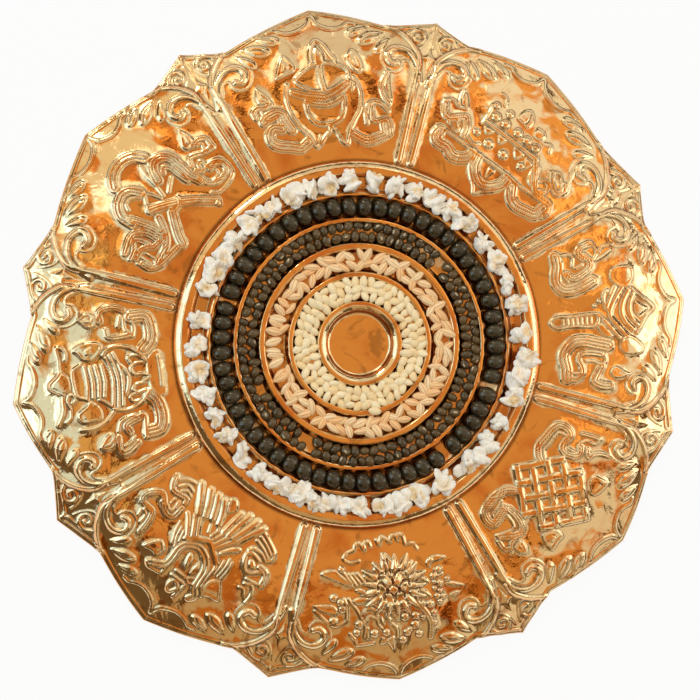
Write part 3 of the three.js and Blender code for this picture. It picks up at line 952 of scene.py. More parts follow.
CROSSED_RIBBONS = """
ribbon 2.9 3 1: -14.6 125.6 -12 128.6 -8.4 130.4 -4 130.6 -0.8 129.4 1.8 127.2 3.6 124
ribbon 2.4 3 1: -22.4 109 -22.8 115 -20 119.4 -15.6 121.2 -11.6 119.6 -9.2 115.4
ribbon 2.3 4: -21.6 111 -19.6 106 -18 101 -17.6 96; -12.6 107.4 -8 104.6 -3.2 101 2 96.4 7 90.6
9 88; -7.2 99.4 -10 95.8 -13.2 91.2 -15 87.4
line 0.65 0.8: -18.4 114.6 -17.2 117 -14 117 -11 114
line 0.65 0.9: -13.6 107 -10.6 111.6 -8.4 113.4 -7 111 -5.6 107
ribbon 0.9 1 0.8: -0.6 123 -1.8 119 -2.8 112 -4 107
ribbon 2.5 4 1: -0.4 113 1.6 117.6 5 120 8.8 118.6 10.8 114.6 10.8 109 10.4 104 11.4 99
ribbon 1.4 2: 3.6 113.4 5.6 114.8 7.2 112 7.2 107 7.6 103; 13.8 106 16 108.8 19 107.6 22 105.6
26.4 104.4
beads 1.2: 8.6 86.6 1.5
ribbon 1.9: -12.8 102.4 -15 98 -18 94 -22 91.6 -28 90.4
line 0.9 1.1: -1.2 106.4 1.4 108 4.2 109.4; -5 98.6 -3 99 -0.4 101.6
ribbon 1.6: -33 95 -31.8 91 -28 89 -22 88.4 -17 87.8
ribbon 1.8: -34 104 -30 105.8 -26 106.6 -23 104.8 -21 101 -20.6 97.4
ribbon 1.5: -33 99 -29 99.4 -26 98 -24 96 -20 95.4
line 0.5 0.8: -34.2 97 -33.6 91.4; -31 97.4 -30.6 92.4; -28.4 97 -27.8 93; 22.2 117.4 21.2 113.4
ribbon 1.2 2: -34.6 100.6 -31 101.6 -28 103.8 -26 102.8 -24.6 98.6
ribbon 1.5 2: 12 100 12.6 96 15 93.4 19 92.6 22 93.2 23.2 96 21.4 98.8 18 98.8
line 0.75 0.9: 10.6 92 13 89.4 18 89 23 90.4 24.6 95 23.6 99 20 101 15 100.6
line 0.5 0.7: 13.4 95.6 16 94.6 19 95 19.6 96.6
ribbon 1.1 2: 13.6 103.4 14.8 101.4 16.4 104 18.2 104 18 100.6
ribbon 1.3 2: 21 111.4 24.6 111.4 27 109.4 27 107 26 104.6
line 0.6 0.8: 22 109.8 24.2 109.2 23.2 106.8
pad 1.1 1 0.6: 22.6 121.4 20 118 17.6 115 17.6 112 19.6 110.8 23 111.6 24 114 24 118
"""
VASE = """
pad 1.1 1.3 0.25: 0 130 2 133.2 3.6 135.2 5.6 135.2 8 132 10.2 130 8 126.8 4.8 126 1.2 126.6
line 0.7 1.3: 0 130 2 133.2 3.6 135.2 5.6 135.2 8 132 10.2 130
line 0.95 1.1: -12.4 134.6 -9 132.4 -6 131.2 -3 131 0 130.4
line 0.65 0.9: -12 131 -10 128.6 -6.2 128.2 -3 129 -0.6 128 -1 126 -3.2 125.6 -4 127; -3.6 112.8
3 111.6 10 112; -7.8 98.4 -7.6 101.4 -5.4 101.8 -4.4 98.6 -3.6 95; -4 95 -4.2 98.6 -2.6 100.4
-0.8 98.6 -0.4 95.4; 9 99.6 11.6 100.2 11.6 96.4 8.8 93.4
line 0.8 1: 10.2 130.6 15 130 20.4 130.2 19.8 127.6 17 126.4 15 127; -4 120.2 3 119.2 10.6 119.4;
-3.4 117.6 3 116.8 9.8 117.2; -3.4 115.2 3 114.2 10 114.8
line 0.7 0.9: -3.4 121 -1 124.6 9 124.8 11.6 121; 22 98 23.6 99.4 28 99.6
pad 1.2 1.3 0.5: -14.2 123.8 -12 126 -9 126 -7.4 124 -6 121.6 -4 119.4 -6 116.6 -9 114.6 -13.4 115
-14.2 119; 12 117.6 13.4 120.6 16 122 17.6 123.8 19.8 122.6 21 119 21 114 19.4 110.4 17 109.8 14 112
12 115
line 0.75 0.9: -16.2 125 -16.6 120 -15 115 -12.4 111.6 -9.8 109.6 -7 112 -4.6 115.2; -19.4 109.4
-15.4 107.6 -13.8 103 -13.8 101.4
pad 0.9 1: 14.6 118 17.8 118.6 18.8 114.6 15.4 114
line 0.8 1.1: -9.6 109.8 -10.8 106 -10.6 102 -9 98 -6.4 95.4 -4 93.2; 14 110.8 16.6 108 16.8 103
15 98.4 12 95 9 92.8
line 0.65 0.95: -8.4 109.8 -2 108.6 5 108 12.8 109.8; -9 107.6 -3 106.6 4 106 13.6 108; -8.6 105.4
-3.4 104.6 4 103.8 9 104.6 14.4 106.2
line 0.75 0.95: -4.4 103.6 -1 102 3.2 101.2 6.4 102.4 8.6 104
line 0.7 0.95: 0.4 95 1.8 92.2 3.4 95.4 3.6 98.6 6.4 99.8 8.2 97.6 8.2 94.4
pad 0.7 0.8 0.5: -4.2 92.6 -6.8 86.2 12 86 9 92.6
line 1 1.2: -3 87.6 3 87.2 10 87.2
ribbon 3.2 4: -6 93.4 -10 90.8 -16 90 -21 91.6 -21.8 96.6
line 1.05 1.2: -24.2 98 -20 97.7 -15 97 -13.6 98.8
ribbon 1.8: -20.6 104.6 -17.8 105.6 -16.2 103 -15.2 99.6
ribbon 1.5 2: -22 109.8 -26 110 -29 109.2 -28.6 106 -25.6 101.8
line 0.6 0.8: -26 107.6 -25 105 -22.8 103
pad 1.2 1 0.6: -25.6 118.8 -27.2 115 -25.6 111.6 -21 111 -19.4 113 -20.6 115.4 -23.2 117.4
line 0.55 0.9: -25 116.6 -24 113.4 -22 112
ribbon 3.1 4: 13.6 93 17 89.6 22 88.8 27.4 90 28.2 96
line 0.85 1: 20 96.6 23 95.8 26.6 96; 25.4 102.2 29.2 100.8
ribbon 1.3 2: 20.8 97.4 20.6 103 21.4 107 24.6 107.6
ribbon 1.6: 28.6 109.4 32.4 109.2 33.8 106.4 33.4 102 31.8 99.2
pad 1.2 1.1 0.6: 26.4 112 26.4 115.6 29 118.2 31.2 120.2 32.4 118 33.6 116 33 112.4 30 110.4
line 0.6 0.9: 30.2 117.2 29.2 113.4 31 112.2
"""
TWO_FISH = """
line 0.75 1.2: 1.3 136 -0.6 133 0.6 131 2.6 131 3.6 133 2.8 135.6 1.3 136
line 0.8 1: -1.4 137 -2.2 133 -2.6 129.6; -1.2 129.4 4.6 129.4; -15.6 100.6 -17 99 -21 98.9
-24.6 100.4 -26.6 98 -24.8 95 -19 92 -16.6 91
line 0.8 0.9: -0.4 126.8 4.2 126.8; -2 108 -4 104 -5.4 101; 20 91.4 24 92.2 27 94.4
ribbon 1.9 2 1.1: -7.4 133.4 -8.8 131.2 -6.8 128.4 -6.2 125 -5.8 120 -4 116.4 -1 113.8 3 112.8
7 114.6 9 118 9 124 10 127.6 13.6 129.6 16 131
line 0.65 0.9: -11.2 129.4 -8.8 126 -8.4 121 -8.6 116 -6.6 112.8
line 0.7 0.9: 8.6 129 9 131.6 12 132.2 15.4 132.6 17 131 16 129.4; -0.4 106.6 -1.8 103.6 -2.6 101.4;
-29.8 110.4 -27 110.8 -22.4 111.6; -28.4 120.4 -28.2 116 -26 112.6 -23 113.6; 29.6 119 29.4 115.4
31.4 113.6; 21.2 102 21.2 106 22.8 107.2 24.4 106; 19.2 94.8 22.4 94 25 96.4
line 0.6 0.9: -5 127.6 -2.8 128 -1.6 126.6 -4 125; -25.6 118 -24 116 -22 116.4
pad 1.1 1: -3.4 123.4 -1 125.2 -0.4 121 -1.4 117.6 -3 119; 0.8 124.6 3 123 4.6 119 4 116.4 2 117
0.6 120; -6.4 111 -9 108 -13.6 103.8 -12 102 -9 104 -5.8 108.4
ribbon 1.5 1 1: -7.6 113.4 -3.6 110.4 0.4 108 5 110 9.6 113.2
line 0.95 1: -3.4 109 -6.4 104.4 -8.8 101.2; 5.8 109.2 8 105.6 9.6 102.6; 7.8 110.4 10.4 105.4
12 102.6; 9.8 111.6 13 106.4 15.4 103.6
line 0.6 0.8: 1.2 105.6 0.2 102 1.6 100.4; 3.2 105 4.2 102; 32 117 32.4 114.6; 23.4 102 23.8 104.4;
18.6 97.2 21 96.2 23.2 97.6
line 1.2 1.1 1.2: -9.6 101 -12 96 -15.4 89.8; -7 101 -9 96 -11.4 88.8; -4.6 101 -5.6 96 -7.2 88.8;
1.6 99.6 3 95 5.8 90; 5.2 99.6 7 94.6 9.2 89.6; 8.4 100.6 10.2 95.6 13.2 89.6; 11.6 101 14.6 95.6
18 90
line 1.1 1: -2 101 -2.6 96 -3.6 90
pad 1.1 1.1 0.4: -1.6 90 0.6 87 2.6 86.2 4.6 88 3.8 91 2 94 -0.4 92.4
pad 1.2 1.1 0.6: -19.4 127.2 -14 128.2 -10.6 129.2 -8.9 125 -10 121 -13 118.6 -15.2 120 -17.2 123;
13 124 15 127.2 18 126.6 22.8 127.2 21.6 123.4 17.6 119.4 14.4 121
line 0.5 0.8: -13.4 118.4 -13.6 113 -13 109.4; -11.6 118.4 -12 113 -11.4 109; -10 118.6 -10.2 114.4
-9.8 111; 11 119 13 115 13.8 110; 13 118.2 15 113 15.8 108.4; 11 116 11.6 113 12 111
ribbon 1.6 2 1: -29.2 110.2 -28.8 107 -27 104.6 -24.2 104
line 0.85 1: -25.4 105.6 -22.6 108.2 -19.6 109 -17 106 -16 103 -17.4 101 -22 102
pad 1 1: -23 105.8 -20 107.2 -18 104.2 -20 103
line 0.75 0.9: -24.4 98.9 -20.6 96.9 -16 95.4; -24.6 97 -20.6 94.8 -16.4 93.2
ribbon 1.5 3 1: 26.8 122.4 26.8 116 28.2 112.2 31.4 111.6 34.2 110.8 34.4 107.6 32 104.6 29 103.4
26 106.2
ribbon 1.3 2: 18.6 103.6 19 108 21 109.6 24.4 108.6 27 106
ribbon 1.4 2: 18.6 100.8 19.4 99.2 23 99.4 26 99.6 28 97 28.8 93.6
"""
LOTUS_BLOOM = """
pad 0.8 3.2: -9.5 107 -7 113.5 -2 118.5 4 119.5 10 116.5 13 110.5 12 104 8 99 2 97 -4 99 -8.5 102.5
fan 14.8 6.6 17 6 366: 1.6 108
pad 3.4 5.5: 9.6 107.4 8 111.8 4.6 114.4 0.6 114.8 -3.4 113.2 -5.9 109.6 -6 105.2 -3.4 101.6 0.6 100
4.6 100.4 8 103
scallops: -2.6 113.2 2 114.4 6.4 112.6; -5.4 108.4 -0.6 110.6 4.6 110.4 8.6 107.8; -4.2 103.8
1.8 106.2 7.6 103.6
ribbon 2.2 3 1.1: -4.8 113.6 -2.6 116.6 1.6 118 6 117 9.4 114.4 10.8 111.4
line 0.75 0.9: -7.4 118.6 -8.2 115 -8.4 111.4; 12.6 112 10.6 107.6 9.2 105.6
pad 1.2 1.1 0.3: 0.6 103 -0.6 99 1.4 94.6 3.6 92.6 5.6 95.4 6.2 99.4 5 103
cut: 2.2 102 3 95.4; 4.2 102 4.2 96
pad 1.1 1: -4 104.2 -7 101.6 -8.8 98.4 -7 97.6 -4.4 100 -2.4 103
pad 1.1 0.9: -3 102 -4.8 98 -3 97.4 -1.4 100.6; 7.8 103.2 9.8 99.4 8.6 98.2 6.8 101; 15.6 130.2
17.2 129 16.6 125 15 123.4 14.8 127
line 0.5 0.7: -6.4 104.4 -4.2 102.6
line 0.7 0.9: -1.4 98.8 -0.6 96.4; 24 109.8 23.4 113 24 118 25 119.8 29 121 32 119.6 34.6 116.4
37.4 112.8; 6.4 131.2 10.6 132.2 9.4 130.2; 11 121 14 119.4 15.6 121; -10 113.4 -8 112.2 -7 109.8;
-10.6 109.6 -8 108.8 -7.4 106.8
line 0.8 1: 10 104 13.6 101.4
line 0.65 0.9: 14 104 16.6 99.6; 15.8 104.6 18.6 99.4; 17.8 104.6 20.4 99.2; 19.6 103.8 22.6 98;
17.8 119.8 19 116 21 112.4 22 110; 17 121 16.4 124 17.8 128.6; -6.2 90.4 -5.6 86.6 -3.6 85.6 -3 88
-2.4 85.8 -0.4 86 0.4 88.2 2 86.6 4 85.6 5.2 88.8 6.2 86.4; 9 88.8 9.8 86.6 11.8 87 12 90 13.6 86.8
15.6 87 16.6 89 20 90 21.6 92.4 19 94.4 15 94.2
pad 1.1 1 0.5: 18.6 105.6 22 104.6 26 102 30.4 99.2 32.8 97.4 31 95.8 26 96 23.4 98.8 20.6 102;
28 116.2 31 115.6 35 113.6 38.2 110.2 33 110.4 29 111.4 27.4 114
beads 1.2: 23.2 96.6 1.5 30 118.8 2 25.4 114 1.7 25.8 111 1.6 28.5 108.4 1.7 20.6 125.6 1.5
19 122.2 1.9 0.7 132.4 1.6 -1.5 129.4 1.6 7.6 127.8 1.6 -5.5 126.6 1.9 -6.8 131 1.6 -3.1 128.2 1.2
-1.6 122.4 1.8 -6.2 122.6 1.7 13 127.4 1.8
pad 1.2 1: 13.4 111.8 16 113.6 19.6 113 21 111 18 109.9 14 110.3; 13.4 109.4 17 108.8 19 107
17.4 105.8 14.4 107; 4 130 4.4 135 5.2 138.4 7 134 8.2 132 6.4 130
line 0.75 1: 14 131.4 18 131.4 21.2 131.2 22 128.6 23.6 125.8
line 0.75 0.9: 3 131 2.6 127 4.4 124.6
pad 1.2 0.9: 4 126.2 6 124 7.2 119.4 4.8 121; 0.4 123.8 2.6 123.2 4.8 119.2 1.4 120.8; -15 115.8
-12 114.2 -9.6 111.2 -12.6 111.8; -14.8 109.2 -12 108.2 -10.2 105.8 -13.2 106.2
pad 1.1 0.8: 7.6 124.2 9.6 123 8.8 119.4
line 0.6 0.9: 9.4 125.6 10.8 123 10.4 119.6
line 0.8 0.9: 10.6 117.4 14 115.6 17 117.8
ribbon 1.3 2 1: -11.6 133.4 -12.6 128 -12 124 -10 120.2 -8.2 117.4
beads 1.1: -14.4 127 1.2 -14.6 122.6 1.4 -9.6 124 1.2 -13.4 118.4 1.7 -10.6 117.6 1.2 -18 118.2 1.2
-19.6 116 1.4 -17 115.5 1.3 -18.6 113.4 1.2 -16.4 112 1.1 -19 110 1.5 -22.6 108.6 1.2
-16.4 106.4 1.4 -19.4 103.8 1.5 -16.6 109 1 -9 104.4 1.3 -16.4 99.2 1.3
line 0.5 0.8: -20.6 106 -18 106.4 -17.6 103.4
pad 1 0.9: -30 112.6 -25 112.8 -20.8 110.2 -25 110.2; -27.6 115.2 -24 117.2 -22.2 116 -25 114.6
pad 1 0.9 0.4: -23.8 98.8 -20 100.2 -17 100.6 -15.6 102.8 -13.8 101 -15 98.2 -19 97.2
line 0.6 0.8: -11.2 93.2 -9.6 90.6 -6.2 90.4
"""
ENDLESS_KNOT = """
weave 7.1: 4.8 109.4
pad 1.1 1.2 0.5: -14.2 129.2 -9 128.8 -5.4 127.2 -4.4 124 -7 121 -9.6 119.6 -13.2 121 -14.2 125
pad 1.2 1.1 0.6: 17.4 125.6 21 125.2 25.8 125.2 25.8 121 23.6 116.8 21 116.4 17.4 119 16.2 122
pad 0.9 1: 19.4 123.2 22.8 123.2 23 120 20 119.8
pad 1.2 1 0.5: 29.4 110 30.4 113 33.2 116.6 35.2 112 35 109.2 32 108.6
line 0.5 0.9: 33 114.4 32.2 110.4
ribbon 1.2 2: 31.2 107 33.4 106.6 35.6 107.8 37.4 105.4 36.2 101.6
line 0.6 0.8: 33 104.6 34.4 101.4; -16.4 107.6 -16 104
ribbon 1.7 3 1: 21.6 97.6 22 101 23.6 105.2 26.4 107.6 29 106.6 31.6 103.8 34 101
line 0.65 0.9: 24.4 98 25.4 101.4 27.4 103.8 30 102.6 34.4 99.2; -20 100 -19.4 97 -18 95.8 -13 95.8
-9 95.2 -6 97.6
ribbon 2.1 4 1: 13.6 94.4 16 91 20 88.8 24 88.2 28.4 88.4 31 91 31 95 27 95.4 23 95.2
line 0.5 0.8: 20.6 92 24 92.4 27.4 92 28.6 93.4
ribbon 1.3 2 1: -24 122 -23 118.6 -20.6 115.4 -18 114 -20.6 111.8
ribbon 1.1 2 1: -27.8 113.8 -26.6 109.4 -25 105.6
line 0.7 0.9: -27 114.4 -24.4 113.4 -23.6 109.4 -21 107.4
ribbon 1.8 3 1: -19.6 108.4 -17 109.8 -14.6 108.4 -13.4 104.6 -14.2 101.8 -17.4 101 -21 101.6
-22.8 99 -22.2 94.8 -19 93 -14 92.4 -9 92 -5.2 94.4 -3.6 97
"""


@dataclass(frozen=True)
class Petal:
    """A large petal.

    Attributes:
        tip: The bearing of its tip.
        tip_radius: The radius of its tip.
        axis: The bearing of its design's axis.
        design: The sign and the swirls on it.
    """

    tip: float
    tip_radius: float
    axis: float
    design: str


@dataclass(frozen=True)
class Gap:
    """A small petal between two large ones, with the notches on its two sides.

    Attributes:
        tip: The bearing of its tip.
        tip_radius: The radius of its tip.
        before: The bearing and radius of the notch that comes before its tip.
        after: The same for the notch after it.
    """

    tip: float
    tip_radius: float
    before: Span
    after: Span


PETALS = (
    Petal(8.0, 154.0, 8.0, BANNER),
    Petal(54.6, 152.5, 54.0, PARASOL),
    Petal(98.3, 152.2, 97.0, LID_BOWL),
    Petal(142.7, 151.5, 141.0, CROSSED_RIBBONS),
    Petal(190.0, 153.0, 190.0, VASE),
    Petal(232.2, 153.6, 233.0, TWO_FISH),
    Petal(277.3, 151.2, 279.0, LOTUS_BLOOM),
    Petal(323.9, 151.8, 325.0, ENDLESS_KNOT),
)
GAPS = (
    Gap(29.4, 151.4, (22.4, 143.9), (39.3, 145.2)),
    Gap(76.0, 150.9, (69.2, 145.1), (85.3, 144.5)),
    Gap(121.7, 151.2, (114.6, 142.4), (129.2, 143.8)),
    Gap(167.3, 150.6, (158.8, 143.2), (175.3, 143.2)),
    Gap(210.4, 152.8, (202.7, 144.5), (219.1, 145.2)),
    Gap(255.1, 153.0, (247.6, 145.0), (263.1, 144.2)),
    Gap(300.2, 150.6, (292.2, 142.4), (308.2, 141.8)),
    Gap(344.8, 152.2, (336.7, 145.9), (354.1, 144.6)),
)


@dataclass
class LotusSkirt:
    """The lotus, one drooping sheet of sixteen petals, made as eight sectors that meet in the
    grooves between the ribs.

    Attributes:
        opening: The radius of the round opening under the disc.
        flange_z: The height of the sheet's top where it lies flat.
        flat_to: The radius where the droop starts.
        fall_over: How far out from there the sheet has dropped by fall.
        fall: The droop.
        fall_power: How the droop steepens outwards.
        sheet: The sheet's thickness.
        shoulder: The radius of the bend at the rim.
        hem: The length turned down under the bend.
        bulge: How far a large petal's edges bow out, and how far a small petal's bow in.
        rib_along: The radii of a rib's straight part.
        rib_bend: The points where it leans over towards the notch, on an even petal.
        rib_out: How far a rib stands from the line between two petals.
        rib_spread: How much further it stands for each mm outwards.
        rib_half: Half its width.
        rib_height: Its height.
        rib_end: Its width at its end, as a share.
        sink: How far the sheet lies lower beyond the ribs.
        sink_from: The radii between which it sinks.
        swelling: How far the sheet is driven up round the work.
        swells: The sheet's random swells, as wavelength, seed and height.
        swells_from: The radii between which they grow.
        hollow_dirt_shade_gain: How fast dirt and painted shade gather with the depth of a hollow.
        hollow_dirt_shade_least: How much of it is taken away again.
        seam_dirt: The radii between which the dirt at the disc's foot begins.
        under_dirt: The dirt on the underside.
        columns: Faces across a sector.
        rows: Faces from the opening to the hem's edge.
        hem_rows: How many of these lie in the bend and the hem.
    """

    opening: float = 74.0
    flange_z: float = 12.6
    flat_to: float = 85.0
    fall_over: float = 67.5
    fall: float = 10.3
    fall_power: float = 2.5
    sheet: float = 1.0
    shoulder: float = 0.9
    hem: float = 1.5
    bulge: Span = (0.9, -0.2)
    rib_along: tuple[float, ...] = (83.5, 90.0, 98.0, 106.0, 114.0)
    rib_bend: tuple[Span, ...] = (
        (46.0, 121.0), (45.4, 127.5), (42.6, 133.0), (38.6, 137.4), (33.5, 140.6))
    rib_out: float = 2.9
    rib_spread: float = 0.022
    rib_half: float = 1.45
    rib_height: float = 1.75
    rib_end: float = 0.62
    groove_half: float = 0.55
    groove_depth: float = 0.22
    sink: float = 0.7
    sink_from: Span = (110.0, 124.0)
    swelling: float = 0.75
    swells: tuple[Swell, ...] = ((34.0, 5, 0.22), (13.0, 8, 0.055))
    swells_from: Span = (80.0, 92.0)
    rim_line_in: float = 1.9
    rim_line_half: float = 0.75
    rim_line_height: float = 0.30
    hollow_dirt_shade_gain: float = 4.5
    hollow_dirt_shade_least: float = 0.15
    seam_dirt: Span = (82.7, 81.3)
    under_dirt: float = 0.25
    columns: int = 272
    rows: int = 184
    hem_rows: int = 12

    def rim_corners(self, number: int) -> tuple[np.ndarray, np.ndarray]:
        """Lists the rim's corners over one sector.

        Args:
            number: The large petal's number.

        Returns:
            The corners' bearings and radii.
        """
        before, petal, after = GAPS[number - 1], PETALS[number], GAPS[number]
        bearings, radii = np.array([
            (before.tip, before.tip_radius), before.after, (petal.tip, petal.tip_radius),
            after.before, (after.tip, after.tip_radius)]).T.copy()
        bearings[bearings > petal.tip + 180.0] -= 360.0
        bearings[bearings < petal.tip - 180.0] += 360.0
        return bearings, radii

    def rim(self, bearings: np.ndarray, corners: tuple[np.ndarray, np.ndarray]) -> np.ndarray:
        """Finds the rim's radius.

        Args:
            bearings: Where.
            corners: The corners' bearings and radii.

        Returns:
            The radii in mm.
        """
        at, radius = corners
        leg = np.clip(np.searchsorted(at, bearings) - 1, 0, 3)
        start, end = np.radians(at[leg]), np.radians(at[leg + 1])
        turn = np.radians(bearings)
        chord = (radius[leg] * radius[leg + 1] * np.sin(end - start)
                 / (radius[leg] * np.sin(turn - start) + radius[leg + 1] * np.sin(end - turn)))
        share = (turn - start) / (end - start)
        return chord + np.where(np.isin(leg, (1, 2)), *self.bulge) * 4.0 * share * (1.0 - share)

    def form(self, radius: np.ndarray) -> np.ndarray:
        """Returns the height of the plain sheet's top at each radius."""
        share = np.clip((radius - self.flat_to) / self.fall_over, 0.0, None)
        return self.flange_z - self.fall * share**self.fall_power

    def rib(self) -> np.ndarray:
        """Draws the right-hand rib on an even petal.

        Returns:
            Its path.
        """
        edge = math.radians(HALF_PETAL)
        points = []
        for along in self.rib_along:
            out = self.rib_out + self.rib_spread * (along - self.flat_to)
            points.append((along * math.sin(edge) - out * math.cos(edge),
                           along * math.cos(edge) + out * math.sin(edge)))
        return np.round([*points, *self.rib_bend], 2)

    def relief(self, number: int, turn: np.ndarray, radius: np.ndarray,
               rim: np.ndarray) -> np.ndarray:
        """Works out one sector's raised work.

        Args:
            number: The large petal's number.
            turn: The points' bearings.
            radius: Their radii in mm.
            rim: The rim's radius at each bearing.

        Returns:
            The heights over the plain sheet in mm.
        """
        petal, before, after = PETALS[number], GAPS[number - 1], GAPS[number]
        first = before.tip - (360.0 if before.tip > petal.tip else 0.0)
        last = after.tip + (360.0 if after.tip < petal.tip else 0.0)
        even = np.interp(turn, [first, petal.tip, last], [HALF_PETAL, 0.0, -HALF_PETAL])
        rib = self.rib()
        border = Chasing(radius, even)
        border.work_both([Stroke(Kind.LINE, rib, (self.rib_half, self.rib_height, self.rib_end)),
                          Stroke(Kind.CUT, rib, (self.groove_half, self.groove_depth))])
        border.work_both(read_design(PETAL_SIDE))
        height = border.grid()
        own = Chasing(radius, petal.axis - turn)
        own.work(read_design(petal.design))
        raised = own.grid()
        height = np.where(raised > 0.0, np.maximum(height, raised), height + raised)
        for tip in (first, last):
            small = Chasing(radius, tip - turn)
            small.work_both(read_design(SMALL_PETAL))
            height = np.maximum(height, small.grid())
        line = rounded(rib)
        outer = np.interp(radius, np.hypot(line[:, 0], line[:, 1]),
                          np.degrees(np.arctan2(line[:, 0], line[:, 1])))
        beyond = smooth(-0.25, 0.45, np.abs(even) - outer) * smooth(*self.sink_from, radius)
        height = height - self.sink * beyond
        busy = np.maximum(raised, small.grid() + border.grid()) > 0.08
        height = height + self.swelling * box_blur(box_blur(busy.astype(float), 5), 4)
        off = np.clip(np.abs(rim - radius - self.rim_line_in) / self.rim_line_half, 0.0, 1.0)
        return height + self.rim_line_height * (1.0 - off**2) ** 1.5

    def sector(self, number: int) -> bpy.types.Object:
        """Builds one large petal with half of the small petal on each side.

        Args:
            number: The large petal's number.

        Returns:
            The piece.
        """
        corners = self.rim_corners(number)
        at = corners[0]
        halves = self.columns // 2
        snapped = np.round((at - at[0]) / (at[-1] - at[0]) * halves) / halves
        turn_line = np.interp(np.linspace(0.0, 1.0, self.columns + 1), snapped, at)
        turn, row = np.meshgrid(turn_line, np.arange(self.rows + 1, dtype=float))
        rim = self.rim(turn, corners)
        flat_rows = self.rows - self.hem_rows
        share = np.clip(row / flat_rows, 0.0, 1.0)
        radius = self.opening + (rim - self.shoulder - self.opening) * share
        raised = self.relief(number, turn, radius, rim)
        swell = sum(drift(*plan(radius, turn), length, seed) * height
                    for length, seed, height in self.swells)
        swell *= smooth(*self.swells_from, radius)
        bend = 0.5 * math.pi * self.shoulder
        run = np.clip((row - flat_rows) / self.hem_rows, 0.0, 1.0) * (bend + self.hem)
        curl = np.clip(run / self.shoulder, 0.0, 0.5 * math.pi)
        down = self.shoulder * (1.0 - np.cos(curl)) + np.maximum(run - bend, 0.0)
        z = self.form(radius) + raised + swell - down
        radius = radius + self.shoulder * np.sin(curl)
        top = np.stack([*plan(radius, turn), z])
        inward = self.sheet * np.sin(curl)
        under = top - np.stack([*plan(inward, turn), self.sheet * np.cos(curl)])
        top[2] = np.maximum(top[2], 0.0)
        under[2] = np.maximum(under[2], 0.0)
        # Dirt and painted shade in the hollows beside the raised work, and dirt along the disc's
        # foot.
        depth = box_blur(raised, 2) - raised
        hollow = np.clip(depth * self.hollow_dirt_shade_gain - self.hollow_dirt_shade_least, 0.0, 1.0)
        hollow = np.maximum(hollow, smooth(*self.seam_dirt, radius) * 0.8)
        return self.close(number, top, under, hollow)

    def close(self, number: int, top: np.ndarray, under: np.ndarray,
              hollow: np.ndarray) -> bpy.types.Object:
        """Makes the sector's closed sheet from its two faces.

        Args:
            number: The large petal's number.
            top: The top's points.
            under: The points of the underside.
            hollow: How much dirt and painted shade lies at each point.

        Returns:
            The piece.
        """
        maker = bmesh.new()
        bmesh.ops.create_grid(maker, x_segments=self.columns, y_segments=self.rows, size=0.5)
        back = bmesh.ops.create_grid(maker, x_segments=self.columns // 2,
                                     y_segments=self.rows // 2, size=0.5,
                                     matrix=Matrix.Translation((0.0, 0.0, -1.0)))
        faces = {face for vert in back["verts"] for face in vert.link_faces}
        bmesh.ops.reverse_faces(maker, faces=list(faces))
        rims = [edge for edge in maker.edges if edge.is_boundary]
        for edge in rims:
            edge.smooth = False
        bmesh.ops.bridge_loops(maker, edges=rims)
        piece = dress(maker, f"lotus_petal_{number + 1}", Slot.BRASS, ("lotus_skirt",))
        flat = read_points(piece.data)
        column = np.rint((flat[:, 0] + 0.5) * self.columns).astype(int)
        row = np.rint((flat[:, 1] + 0.5) * self.rows).astype(int)
        lower = flat[:, 2] < -0.5
        places = np.where(lower[:, None], under[:, row, column].T, top[:, row, column].T)
        move_points(piece.data, places)
        # The lean paints the brass's slope highlight.
        store_tilt(piece.data)
        # Dirt and painted shade on the top; the underside gets an even dirt.
        dirt_and_shade = np.where(lower, self.under_dirt, hollow[row, column])
        store_level(piece.data, "dirt_and_shade", dirt_and_shade)
        return piece

    def build(self) -> list[bpy.types.Object]:
        """Builds all the sectors, and returns the pieces."""
        return [self.sector(number) for number in range(len(PETALS))]


